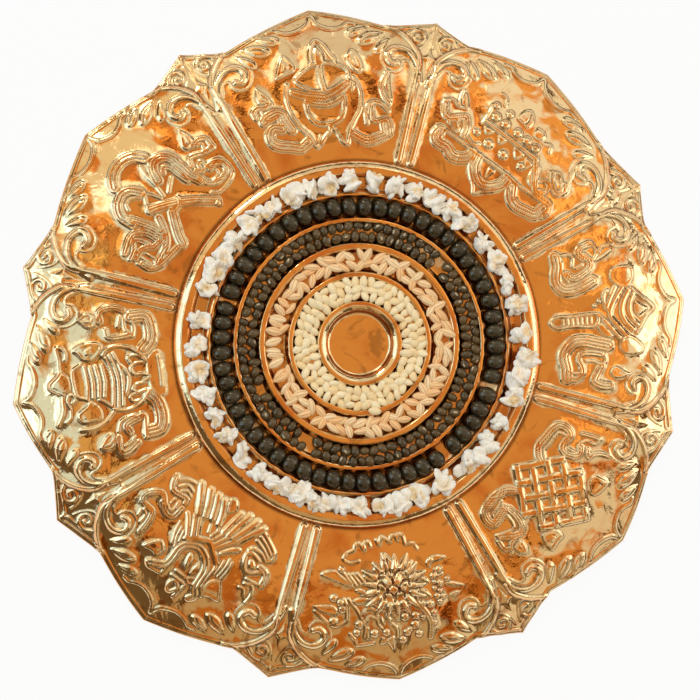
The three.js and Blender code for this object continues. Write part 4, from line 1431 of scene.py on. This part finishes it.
@dataclass
class MandalaDisc:
    """The ringed disc: a thin spun tray with a well and five channels.

    Attributes:
        foot_z: The height of the foot's top.
        ridge_z: The height of the ridges' shoulders.
        crown: How far a ridge's middle stands over its shoulders.
        floor_z: The height of the channels' floors.
        well_z: The height of the well's floor.
        well_flat: The radius of the well's flat floor.
        well_rings: Rings of faces on it.
        wall: The disc's thickness.
        ridges: Each ridge's foot, two shoulders and other foot, as radii.
        well_wall: The well's wall up to the first ridge, as radii and heights.
        outer_wall: The wall outside the last ridge.
        round_soften: How far a slope's rounding reaches past its ends.
        foot_edge: How far in and how far under the foot's top its lower edge lies.
        rise: The random rise and fall of its top, as wavelength, seed and height.
        swing: The same for the rings' radii, as a share.
        smudge: The dirt on the well's floor: its middle's x, and its half sizes.
        corner_dirt_shade: The dirt and painted shade in a corner, and half its width.
        rings_from: The radius where the rings start, on which the painted slope highlight is
            halved.
        rings_to: The radius where they end.
        steps: Faces round the disc.
    """

    foot_z: float = 12.9
    ridge_z: float = 16.9
    crown: float = 0.10
    floor_z: float = CHANNEL_FLOOR_Z
    well_z: float = 11.9
    well_flat: float = 12.6
    well_rings: int = 18
    wall: float = 0.8
    ridges: tuple[tuple[float, float, float, float], ...] = (
        (14.35, 16.6, 18.6, 19.6),
        (28.6, 29.3, 31.5, 32.7),
        (40.1, 41.7, 44.1, 45.8),
        (53.0, 53.3, 55.4, 56.4),
        (64.7, 64.9, 66.5, 68.3),
        (73.6, 74.5, 77.4, 81.0),
    )
    well_wall: tuple[Span, ...] = (
        (12.7, 11.90), (13.1, 11.95), (13.5, 12.08), (13.85, 12.30), (14.1, 12.65), (14.3, 13.3),
        (14.42, 14.3), (14.52, 15.1), (14.68, 15.55), (14.95, 15.83), (15.35, 16.12),
        (15.75, 16.40), (16.15, 16.63), (16.5, 16.79), (16.9, 16.87))
    outer_wall: tuple[Span, ...] = (
        (77.3, 16.92), (77.9, 16.80), (78.6, 16.50), (79.4, 16.05), (80.1, 15.50), (80.6, 14.9),
        (80.9, 14.2), (81.1, 13.5), (81.25, 12.9))
    round_soften: float = 0.35
    foot_edge: Span = (0.3, 0.05)
    rise: Swell = (26.0, 3, 0.05)
    swing: Swell = (60.0, 4, 0.0016)
    smudge: tuple[float, float, float] = (7.6, 3.4, 6.6)
    corner_dirt_shade: Span = (0.7, 0.35)
    rings_from: float = 16.9
    rings_to: float = 76.0
    steps: int = 256

    def slope(self, start: float, end: float, low: float, high: float) -> list[Span]:
        """Rounds a wall between two levels.

        Args:
            start: The radius at its first end.
            end: The radius at its other end.
            low: The height at the first end.
            high: The height at the other.

        Returns:
            Points along it.
        """
        points = []
        for share in (0.0, 0.08, 0.22, 0.42, 0.58, 0.78, 0.92, 1.0):
            eased = share * share * (3.0 - 2.0 * share)
            points.append((lerp(start - self.round_soften * (1 - share),
                                end + self.round_soften * share, share),
                           lerp(low, high, lerp(share, eased, 0.8))))
        return points

    def profile(self) -> list[Span]:
        """Traces the top from the axis to the foot.

        Returns:
            Radii and heights in mm.
        """
        points = [(ring * self.well_flat / self.well_rings, self.well_z)
                  for ring in range(self.well_rings)]
        for ridge in self.ridges:
            foot, start, end, outer = ridge
            if ridge is self.ridges[0]:
                points += self.well_wall
            else:
                points += self.slope(foot, start, self.floor_z, self.ridge_z)
            points.append((0.5 * (start + end), self.ridge_z + self.crown))
            if ridge is self.ridges[-1]:
                points += self.outer_wall
            else:
                points += self.slope(end, outer, self.ridge_z, self.floor_z)
        return points

    def build(self) -> bpy.types.Object:
        """Spins the disc.

        Returns:
            The piece.
        """
        top = self.profile()
        under = [(radius, height - self.wall) for radius, height in top]
        inward, below = self.foot_edge
        under[-1] = (under[-1][0] - inward, self.foot_z - below)
        maker = bmesh.new()
        verts = [maker.verts.new((radius * MM, 0.0, height * MM))
                 for radius, height in [*top, *reversed(under)]]
        edges = [maker.edges.new(pair) for pair in zip(verts, verts[1:])]
        bmesh.ops.spin(maker, geom=verts + edges, cent=ORIGIN, axis=(0.0, 0.0, 1.0),
                       angle=FULL_TURN, steps=self.steps, use_merge=True)
        bmesh.ops.remove_doubles(maker, verts=maker.verts[:], dist=0.004 * MM)
        bmesh.ops.recalc_face_normals(maker, faces=maker.faces[:])
        piece = dress(maker, "ringed_disc", Slot.BRASS, ("mandala_disc",))
        self.age(piece.data)
        return piece

    def age(self, mesh: bpy.types.Mesh) -> None:
        """Waves the spun shape slightly, puts dirt and painted shade in its corners and a smudge of
        dirt in its well, and keeps its lean for the painted slope highlight.

        Args:
            mesh: The disc's mesh.
        """
        places = read_points(mesh) / MM
        radius = np.hypot(places[:, 0], places[:, 1])
        length, seed, height = self.rise
        places[:, 2] += height * drift(places[:, 0], places[:, 1], length, seed)
        length, seed, share = self.swing
        swing = 1.0 + share * drift(places[:, 0], places[:, 1], length, seed)
        places[:, :2] *= swing[:, None]
        move_points(mesh, places)
        x, y = places[:, 0], places[:, 1]
        middle, half_x, half_y = self.smudge
        away = np.hypot((x - middle) / half_x, y / half_y) + 0.22 * drift(x, y, 3.2, 12)
        dirt_and_shade = 0.42 * smooth(1.15, 0.75, away) * (radius < self.well_flat + 0.2)
        # Dirt and painted shade in the ridges' corners.
        corners = [ridge[side] for ridge in self.ridges for side in (0, 3)]
        corners.remove(self.ridges[0][3])
        dark_dirt_and_shade, half = self.corner_dirt_shade
        for corner in corners:
            dirt_and_shade = np.maximum(dirt_and_shade, dark_dirt_and_shade * np.exp(-(((radius - corner) / half) ** 2)))
        ringed = (radius > self.rings_from) & (radius < self.rings_to)
        # The lean paints the slope highlight: half on the rings, full in the well and on the outer
        # wall.
        store_tilt(mesh, np.where(ringed, 0.5, 1.0))
        store_level(mesh, "dirt_and_shade", dirt_and_shade)


@dataclass(frozen=True)
class Grain:
    """One kind of grain.

    Attributes:
        length: Its length.
        width: Its width.
        thick: Its thickness.
        point: How pointed its ends are, from 0 to 1.
        crease: The depth of its crease as a share of its thickness.
        round_faces: Faces round it.
        long_faces: Faces from end to end.
    """

    length: float
    width: float
    thick: float
    point: float = 0.0
    crease: float = 0.0
    round_faces: int = 10
    long_faces: int = 8

    def template(self) -> bpy.types.Mesh:
        """Shapes one grain at the origin, lying along X, with its crease on top.

        Returns:
            Its mesh in mm.
        """
        maker = bmesh.new()
        maker.loops.layers.uv.new("skin")
        bmesh.ops.create_uvsphere(maker, u_segments=self.round_faces, v_segments=self.long_faces,
                                  radius=1.0, calc_uvs=True)
        bmesh.ops.rotate(maker, cent=ORIGIN, matrix=Matrix.Rotation(math.pi / 2, 3, "Y"),
                         verts=maker.verts[:])
        for vert in maker.verts:
            along, side, up = vert.co
            slim = 1.0 - self.point * abs(along) ** 1.6
            pinch = 1.0
            if self.crease and up > 0.6 and abs(side) < 0.35:
                pinch = 1.0 - self.crease * (1.0 - along * along)
            vert.co = Vector((along * self.length / 2, side * self.width / 2 * slim,
                              up * self.thick / 2 * slim * pinch))
        return write_mesh(maker, "grain")


@dataclass(frozen=True)
class Lay:
    """Where one grain lies.

    Attributes:
        radius: Its radius on the disc.
        bearing: Its bearing in degrees.
        lift: Its middle's height.
        lean: The turn of its length from the radius in degrees.
        roll: Its turn about its own length in degrees.
        pitch: Its slope in degrees.
        size: A factor on its size.
        tone: Its colour from 0 to 1.
    """

    radius: float
    bearing: float
    lift: float
    lean: float
    roll: float
    pitch: float
    size: float
    tone: float

    def matrix(self) -> Matrix:
        """Returns the turn and place, from mm to metres.

        Returns:
            The matrix.
        """
        turn = math.radians(self.bearing)
        place = Vector((self.radius * math.cos(turn), self.radius * math.sin(turn), self.lift))
        return (Matrix.Translation(place * MM)
                @ Matrix.Rotation(turn + math.radians(self.lean), 4, "Z")
                @ Matrix.Rotation(math.radians(self.pitch), 4, "Y")
                @ Matrix.Rotation(math.radians(self.roll), 4, "X")
                @ Matrix.Scale(self.size * MM, 4))


def lay_grains(name: str, grain: Grain, lays: list[Lay], slot: Slot,
               nodes: tuple[str, ...]) -> bpy.types.Object:
    """Lays copies of a grain as one piece.

    Args:
        name: The piece's name.
        grain: The kind of grain.
        lays: Where each lies.
        slot: Its finish.
        nodes: The frame's nodes that it stands for.

    Returns:
        The piece.
    """
    template = grain.template()
    maker = bmesh.new()
    tone = maker.verts.layers.float.new("tone")
    for lay in lays:
        done = len(maker.verts)
        maker.from_mesh(template)
        maker.verts.ensure_lookup_table()
        fresh = maker.verts[done:]
        bmesh.ops.transform(maker, matrix=lay.matrix(), verts=fresh)
        for vert in fresh:
            vert[tone] = lay.tone
    bpy.data.meshes.remove(template)
    return dress(maker, name, slot, nodes)


def wobble(draw: random.Random, reach: float) -> float:
    """Returns a random value from -reach to reach."""
    return draw.uniform(-reach, reach)


@dataclass
class Offerings:
    """Everything laid in the channels.

    Attributes:
        seed: Picks the random draws.
        floor_z: The height of the channels' floors.
        black_row: The black beans' radius, first bearing, sweep and spacing.
        black_gaps: The row's gaps, as bearing and width.
        small_rows: The radii of the rows of small beans.
        small_start: The first small bean's bearing.
        small_gap: The first and last bearing of the inner row's gap.
        small_along: The share of small beans that lie along the row.
        small_spacing: The spacing of those beans, and of the others.
        small_missing: The share of places left empty.
        barley_single: The bearings between which the barley lies in a single row.
        barley_one: The radius and lift of the single row.
        barley_inner: The share of that row's grains with one more inside.
        barley_two: The radii and lifts of the two rows elsewhere.
        barley_middle: The radius where its spacing is measured.
        barley_spacing: The spacing in one row and in two.
        rice_rows: The radius and spacing of each row of rice.
        rice_stray: The grain that strayed onto a ridge.
    """

    seed: int = 41
    floor_z: float = CHANNEL_FLOOR_Z
    black_bean: Grain = Grain(7.8, 7.0, 5.8, round_faces=24, long_faces=16)
    small_bean: Grain = Grain(5.2, 4.3, 3.9)
    barley: Grain = Grain(7.5, 4.1, 3.3, point=0.22, crease=0.08)
    rice: Grain = Grain(6.2, 4.1, 3.2, point=0.12, long_faces=7)
    black_row: tuple[float, float, float, float] = (60.5, 346.4, 353.0, 6.75)
    black_gaps: tuple[Span, ...] = ((160.0, 0.6), (307.0, 3.0))
    small_rows: Span = (47.25, 51.5)
    small_start: float = 246.6
    small_gap: Span = (203.0, 207.0)
    small_along: float = 0.35
    small_spacing: Span = (4.6, 3.9)
    small_missing: float = 0.02
    barley_single: Span = (148.0, 214.0)
    barley_one: tuple[Span, ...] = ((37.9, 1.7),)
    barley_inner: float = 0.4
    barley_two: tuple[Span, ...] = ((34.9, 1.6), (38.7, 1.7))
    barley_middle: float = 36.8
    barley_spacing: Span = (3.4, 3.9)
    rice_rows: tuple[Span, ...] = ((20.9, 3.7), (24.1, 3.6), (27.3, 3.6))
    rice_stray: Lay = Lay(30.2, 282.0, 18.0, 70.0, 10.0, 0.0, 0.95, 0.4)

    def black_beans(self) -> list[Lay]:
        """Lays the black beans in one row, with the gaps that the row has.

        Returns:
            Where each lies.
        """
        draw = random.Random(self.seed)
        lays = []
        radius, bearing, sweep, spacing = self.black_row
        end = bearing + sweep
        while bearing < end:
            size = draw.uniform(0.93, 1.04)
            lays.append(Lay(radius + wobble(draw, 0.35), bearing, self.floor_z + 3.1,
                            draw.gauss(0.0, 14.0), wobble(draw, 30), wobble(draw, 8), size,
                            draw.random()))
            step = math.degrees(spacing * size / radius)
            bearing += step
            for gap, extra in self.black_gaps:
                if gap <= bearing % 360.0 < gap + step:
                    bearing += extra
        return lays

    def small_beans(self) -> list[Lay]:
        """Lays the small beans in two rows.

        Returns:
            Where each lies.
        """
        draw = random.Random(self.seed + 1)
        lays = []
        for row, radius in enumerate(self.small_rows):
            bearing = self.small_start + 1.5 * row
            end = bearing + 355.0
            while bearing < end:
                size = draw.uniform(0.88, 1.08)
                along = draw.random() < self.small_along
                missing = row == 0 and self.small_gap[0] < bearing % 360.0 < self.small_gap[1]
                if not missing and draw.random() > self.small_missing:
                    lays.append(Lay(radius + wobble(draw, 0.3), bearing,
                                    self.floor_z + 2.0 + draw.uniform(0.0, 0.9),
                                    (90.0 if along else 0.0) + draw.gauss(0.0, 26.0),
                                    wobble(draw, 180), wobble(draw, 14), size, draw.random()))
                bearing += math.degrees(self.small_spacing[0 if along else 1] * size / radius)
        return lays

    def barley_grains(self) -> list[Lay]:
        """Lays the barley, in a single row on the left and in two crossed rows elsewhere.

        Returns:
            Where each lies.
        """
        draw = random.Random(self.seed + 2)
        lays = []
        bearing = 0.0
        while bearing < 359.0:
            single = self.barley_single[0] < bearing < self.barley_single[1]
            for radius, lift in self.barley_one if single else self.barley_two:
                lean = draw.gauss(0.0, 13.0)
                if not single:
                    lean = draw.choice((-1, 1)) * draw.gauss(48.0, 24.0)
                lays.append(Lay(radius + wobble(draw, 0.5), bearing + wobble(draw, 1.6),
                                self.floor_z + lift + draw.uniform(0.0, 1.0), lean,
                                wobble(draw, 60), wobble(draw, 12), draw.uniform(0.86, 1.05),
                                draw.random() ** 1.6))
            if single and draw.random() < self.barley_inner:
                lays.append(Lay(34.2, bearing + 2.0, self.floor_z + 1.7, draw.gauss(70.0, 20.0),
                                wobble(draw, 60), 0.0, 0.9, draw.random()))
            bearing += math.degrees(self.barley_spacing[0 if single else 1] / self.barley_middle)
        return lays

    def rice_grains(self) -> list[Lay]:
        """Lays the rice in three loose rows, with the one grain that strayed onto a ridge.

        Returns:
            Where each lies.
        """
        draw = random.Random(self.seed + 3)
        lays = []
        for radius, spacing in self.rice_rows:
            bearing = draw.uniform(0.0, 8.0)
            end = bearing + 358.0
            while bearing < end:
                lays.append(Lay(radius + wobble(draw, 0.4), bearing,
                                self.floor_z + 1.4 + draw.uniform(0.0, 1.1),
                                draw.gauss(0.0, 48.0), wobble(draw, 60), wobble(draw, 18),
                                draw.uniform(0.85, 1.05), draw.random() ** 1.5))
                bearing += math.degrees(spacing / radius)
        lays.append(self.rice_stray)
        return lays

    def build(self) -> list[bpy.types.Object]:
        """Lays every row.

        Returns:
            The pieces.
        """
        black = tuple(f"black_bean_row_arc_{arc}" for arc in (1, 2, 3))
        small = tuple(f"small_bean_row_{row}_arc_{arc}" for row in (1, 2) for arc in (1, 2))
        return [
            lay_grains("black_beans", self.black_bean, self.black_beans(), Slot.BLACK_BEAN, black),
            lay_grains("small_beans", self.small_bean, self.small_beans(), Slot.SMALL_BEAN, small),
            lay_grains("barley_grains", self.barley, self.barley_grains(), Slot.BARLEY,
                       ("barley_row",)),
            lay_grains("rice_grains", self.rice, self.rice_grains(), Slot.RICE,
                       ("rice_row_1", "rice_row_2")),
        ]


@dataclass
class Popcorn:
    """The popped corn, one piece to each kernel.

    Attributes:
        seed: Picks the random draws.
        channel: The channel's radius.
        channel_half: Half its width at its floor.
        floor_z: The height that the kernels stand on.
        ridge_z: The height below which they keep inside the channel.
        middle_z: The height of a kernel's middle.
        most_up: How far a kernel's top may stand over its middle before it is set lower.
        core: The radius of the foam that the wings grow from, before a kernel is scaled.
        wings: The least and most wings.
        wing_out: How far out a wing's middle lies, likewise.
        wing_half: Its half thickness, width and length, likewise.
        kernel_half: Half a kernel's length.
        stray: The bearing of the kernel that lies across the rim.
        stray_out: How much further out it lies.
        stray_stretch: A factor on its length.
        bearings: The kernels' bearings.
    """

    seed: int = 7
    channel: float = 70.95
    channel_half: float = 2.5
    floor_z: float = 14.35
    ridge_z: float = 17.1
    middle_z: float = 18.6
    most_up: float = 4.3
    core: float = 1.7
    wings: tuple[int, int] = (8, 11)
    wing_out: Span = (1.2, 2.6)
    wing_half: tuple[Span, ...] = ((0.6, 1.2), (1.3, 2.2), (1.8, 3.0))
    kernel_half: Span = (5.1, 6.0)
    stray: float = 355.0
    stray_out: float = 3.6
    stray_stretch: float = 1.25
    bearings: tuple[float, ...] = (
        4, 14, 22, 30, 39, 49, 56, 62.5, 70, 77.5, 85, 94, 101.5, 107.5, 115, 123, 128.5, 134.5,
        141, 147.5, 153.5, 160.5, 172, 181, 190, 198.5, 207, 214.5, 223, 232, 239.5, 247, 252.5,
        258, 264, 270, 278, 284.5, 291.5, 301, 311, 316.5, 322.5, 331, 341, 348, 355)

    def wing(self, directions: np.ndarray, draw: random.Random) -> np.ndarray:
        """Blows one flattened wing of foam out of the kernel's middle.

        Args:
            directions: Directions from the middle.
            draw: The random draws.

        Returns:
            How far the wing reaches in each direction, or 0.
        """
        out = Vector((draw.gauss(0, 1), draw.gauss(0, 1), draw.gauss(0, 0.8) + 0.5)).normalized()
        middle = out * draw.uniform(*self.wing_out)
        sizes = [draw.uniform(*half) for half in self.wing_half]
        turn = Matrix.Rotation(draw.uniform(0.0, FULL_TURN), 3, Vector(
            (draw.gauss(0, 1), draw.gauss(0, 1), draw.gauss(0, 1))))
        frame = np.array(turn) / np.array(sizes)[:, None]
        ray, start = directions @ frame.T, frame @ np.array(middle)
        square, along = (ray**2).sum(1), ray @ start
        inside = along**2 - square * (start @ start - 1.0)
        far = (along + np.sqrt(np.maximum(inside, 0.0))) / square
        return np.where(inside > 0.0, np.maximum(far, 0.0), 0.0)

    def kernel(self, number: int, bearing: float, draw: random.Random) -> bpy.types.Object:
        """Pops one kernel.

        Args:
            number: Its number, from 0.
            bearing: Its bearing on the disc in degrees.
            draw: The random draws.

        Returns:
            The piece.
        """
        maker = bmesh.new()
        bmesh.ops.create_icosphere(maker, subdivisions=5, radius=1.0)
        directions = np.array([vert.co for vert in maker.verts])
        directions /= np.linalg.norm(directions, axis=1)[:, None]
        reach = [np.full(len(directions), self.core)]
        for _ in range(draw.randint(*self.wings)):
            reach.append(self.wing(directions, draw))
        second, first = np.sort(np.array(reach), axis=0)[-2:]
        opening = Vector((draw.gauss(0, 0.5), draw.gauss(0, 0.5), 1.0)).normalized()
        hollow = smooth(0.66, 0.93, directions @ np.array(opening)) * draw.choice((0.0, 0.6, 1.0))
        first = first * (1.0 - 0.34 * hollow)
        bumps = directions * first[:, None]
        radius = first + 0.13 * drift(bumps[:, 0] + bumps[:, 2], bumps[:, 1] - bumps[:, 2], 1.5,
                                      number + 60)
        places = directions * radius[:, None]
        places -= 0.5 * (places.min(0) + places.max(0))
        stretch = np.array([draw.uniform(0.9, 1.12), draw.uniform(0.9, 1.12), 0.92])
        places *= stretch * draw.uniform(*self.kernel_half) / np.abs(places).max()
        self.settle(places, bearing, draw)
        for vert, place in zip(maker.verts, places * MM):
            vert.co = place
        piece = dress(maker, f"popped_corn_{number + 1:02d}", Slot.POPCORN,
                      (f"popcorn_{number + 1:02d}",))
        low_half, low_tenth = np.percentile(first, (40, 8))
        store_level(piece.data, "fold", np.clip(1.0 - np.abs(first - second) / 0.45, 0.0, 1.0))
        store_level(piece.data, "heart",
                    np.maximum(hollow, 0.7 * smooth(low_half, low_tenth, first)))
        return piece

    def settle(self, places: np.ndarray, bearing: float, draw: random.Random) -> None:
        """Moves a kernel to its place, and presses what is low into the channel.

        Args:
            places: The kernel's points in mm, which are moved.
            bearing: Its bearing in degrees.
            draw: The random draws.
        """
        channel = self.channel
        if bearing == self.stray:
            channel += self.stray_out
            places[:, 0] *= self.stray_stretch
        turn = math.radians(bearing)
        places[:, 0] += (channel + draw.uniform(-0.7, 0.9)) * math.cos(turn)
        places[:, 1] += (channel + draw.uniform(-0.7, 0.9)) * math.sin(turn)
        places[:, 2] += self.middle_z - max(0.0, places[:, 2].max() - self.most_up)
        low = np.clip((self.ridge_z - places[:, 2]) / 0.5, 0.0, 1.0)
        out = np.hypot(places[:, 0], places[:, 1])
        kept = np.clip(out, self.channel - self.channel_half, self.channel + self.channel_half)
        places[:, :2] *= (1.0 + low * (kept / out - 1.0))[:, None]
        places[:, 2] = np.maximum(places[:, 2], self.floor_z)

    def build(self) -> list[bpy.types.Object]:
        """Pops every kernel.

        Returns:
            The pieces.
        """
        draw = random.Random(self.seed)
        return [self.kernel(number, bearing, draw) for number, bearing in enumerate(self.bearings)]


# ---- studio


@dataclass(frozen=True)
class Lamp:
    """A large soft lamp that faces the plate.

    Attributes:
        name: Its name.
        bearing: Its bearing in degrees.
        height: Its height over the horizon in degrees.
        size: Its side in metres.
        level: How bright it looks, where 1 is white.
        colour: Its colour.
        mirrored: Whether it shows in the brass.
        away: Its distance in metres.
    """

    name: str
    bearing: float
    height: float
    size: float
    level: float
    colour: tuple[float, float, float]
    mirrored: bool = True
    away: float = 1.4

    def build(self) -> bpy.types.Object:
        """Hangs the lamp.

        Returns:
            The lamp.
        """
        data = bpy.data.lights.new(self.name, "AREA")
        data.size = self.size
        data.energy = self.level * math.pi * self.size * self.size
        data.color = self.colour
        lamp = hang(self.name, data)
        turn, lift = math.radians(self.bearing), math.radians(self.height)
        out = Vector((math.cos(lift) * math.cos(turn), math.cos(lift) * math.sin(turn),
                      math.sin(lift)))
        lamp.location = out * self.away
        lamp.rotation_mode = "QUATERNION"
        lamp.rotation_quaternion = out.to_track_quat("Z", "Y")
        lamp.visible_glossy = self.mirrored
        return lamp


@dataclass
class Studio:
    """The camera, the floor and the soft lamps.

    Attributes:
        distance: How far the camera stands from the ridges' tops in mm.
        tilt_x: The camera's lean to the left in degrees.
        tilt_y: Its lean to the front.
        lens: Its focal length.
        shift: Its shift across and up.
        aim_z: The height that it is aimed at in mm.
        floor_half: Half the floor's side in metres.
        sweep_from: Where the floor starts to sweep up, in metres from the middle.
        sweep: How far it rises, in metres.
        floor_share: How plain white the camera sees it.
        lamps: The lamps.
    """

    distance: float = 571.0
    tilt_x: float = -6.35
    tilt_y: float = -1.65
    lens: float = 67.06
    shift: Span = (-0.0147, -0.0093)
    aim_z: float = 16.9
    floor_half: float = 6.0
    sweep_from: float = 4.0
    sweep: float = 1.1
    floor_share: float = 0.92
    lamps: tuple[Lamp, ...] = (
        Lamp("lamp_left", 177.0, 50.0, 0.90, 0.82, (0.75, 1.0, 1.18)),
        Lamp("lamp_left_low", 177.0, 26.0, 0.86, 1.35, (0.70, 1.0, 1.32)),
        Lamp("lamp_far_left", 132.0, 42.0, 1.00, 0.72, (1.0, 0.86, 0.62)),
        Lamp("lamp_far", 92.0, 42.0, 0.95, 0.62, (1.0, 0.97, 0.90)),
        Lamp("lamp_far_right", 48.0, 41.0, 0.9, 0.80, (1.0, 0.98, 0.92)),
        Lamp("lamp_right", 4.0, 48.0, 0.7, 0.74, (1.0, 0.97, 0.90)),
        Lamp("lamp_right_low", 4.0, 26.0, 0.70, 1.60, (1.0, 1.0, 1.0)),
        Lamp("lamp_near_right", 320.0, 38.0, 0.7, 0.64, (1.0, 0.92, 0.78)),
        Lamp("lamp_near", 268.0, 44.0, 1.0, 0.37, (1.0, 0.72, 0.42)),
        Lamp("lamp_over", 0.0, 84.0, 1.35, 0.58, (1.0, 0.95, 0.87)),
        Lamp("lamp_glint", 122.0, 25.0, 0.26, 7.5, (1.0, 1.0, 0.97)),
        Lamp("lamp_fill", 120.0, 70.0, 1.6, 0.58, (1.0, 0.99, 0.97), mirrored=False),
    )

    def camera(self) -> bpy.types.Object:
        """Sets the camera at the photograph's place.

        Returns:
            The camera.
        """
        x, y = math.sin(math.radians(self.tilt_x)), math.sin(math.radians(self.tilt_y))
        back = Vector((x, y, math.sqrt(1.0 - x * x - y * y)))
        side = Vector((0.0, 1.0, 0.0)).cross(back).normalized()
        data = bpy.data.cameras.new("camera")
        data.lens = self.lens
        data.shift_x, data.shift_y = self.shift
        data.clip_start, data.clip_end = 0.01, 20.0
        camera = hang("camera", data)
        turn = Matrix((side, back.cross(side), back)).transposed().to_4x4()
        place = (Vector((0.0, 0.0, self.aim_z)) + back * self.distance) * MM
        camera.matrix_world = Matrix.Translation(place) @ turn
        bpy.context.scene.camera = camera
        return camera

    def floor(self) -> bpy.types.Object:
        """Lays the pale floor, plain white to the camera and swept up far out.

        Returns:
            The floor.
        """
        maker = bmesh.new()
        bmesh.ops.create_grid(maker, x_segments=48, y_segments=48, size=self.floor_half)
        for vert in maker.verts:
            out = np.hypot(vert.co.x, vert.co.y)
            vert.co.z = self.sweep * float(smooth(self.sweep_from, self.floor_half, out))
        mesh = write_mesh(maker, "floor")
        floor = hang("floor", mesh)
        floor.location.z = -0.05 * MM
        graph = Graph("floor_white")
        matt = graph.add("BsdfDiffuse", {"Color": (0.80, 0.80, 0.80, 1.0)})
        glow = graph.add("Emission", {"Color": (1.0, 1.0, 1.0, 1.0), "Strength": 1.0})
        rays = graph.add("LightPath").outputs
        seen = graph.sum("ADD", rays["Is Camera Ray"], rays["Is Glossy Ray"])
        seen = graph.sum("ADD", seen, rays["Is Transmission Ray"])
        share = graph.sum("MULTIPLY", seen, self.floor_share)
        both = graph.add("MixShader", {0: share, 1: matt.outputs[0], 2: glow.outputs[0]})
        mesh.materials.append(graph.show(both))
        return floor

    def world(self) -> None:
        """Fills in with a plain, dim, warm surround."""
        world = bpy.data.worlds.new("surround")
        bpy.context.scene.world = world
        world.use_nodes = True
        back = world.node_tree.nodes["Background"]
        back.inputs["Color"].default_value = (1.0, 0.63, 0.30, 1.0)
        back.inputs["Strength"].default_value = 0.15

    def build(self) -> None:
        """Sets up the whole studio."""
        self.camera()
        self.floor()
        self.world()
        for lamp in self.lamps:
            lamp.build()
        bpy.context.scene.view_settings.view_transform = "Standard"


def main() -> None:
    """Builds the plate and its studio."""
    logging.basicConfig(level=logging.INFO, format="%(message)s")
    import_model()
    Studio().build()
    for slot, finish in FINISHES.items():
        MATERIALS[slot] = finish.material()
    for assembly in (LotusSkirt(), MandalaDisc(), Offerings(), Popcorn()):
        assembly.build()


if __name__ == "__main__":
    main()
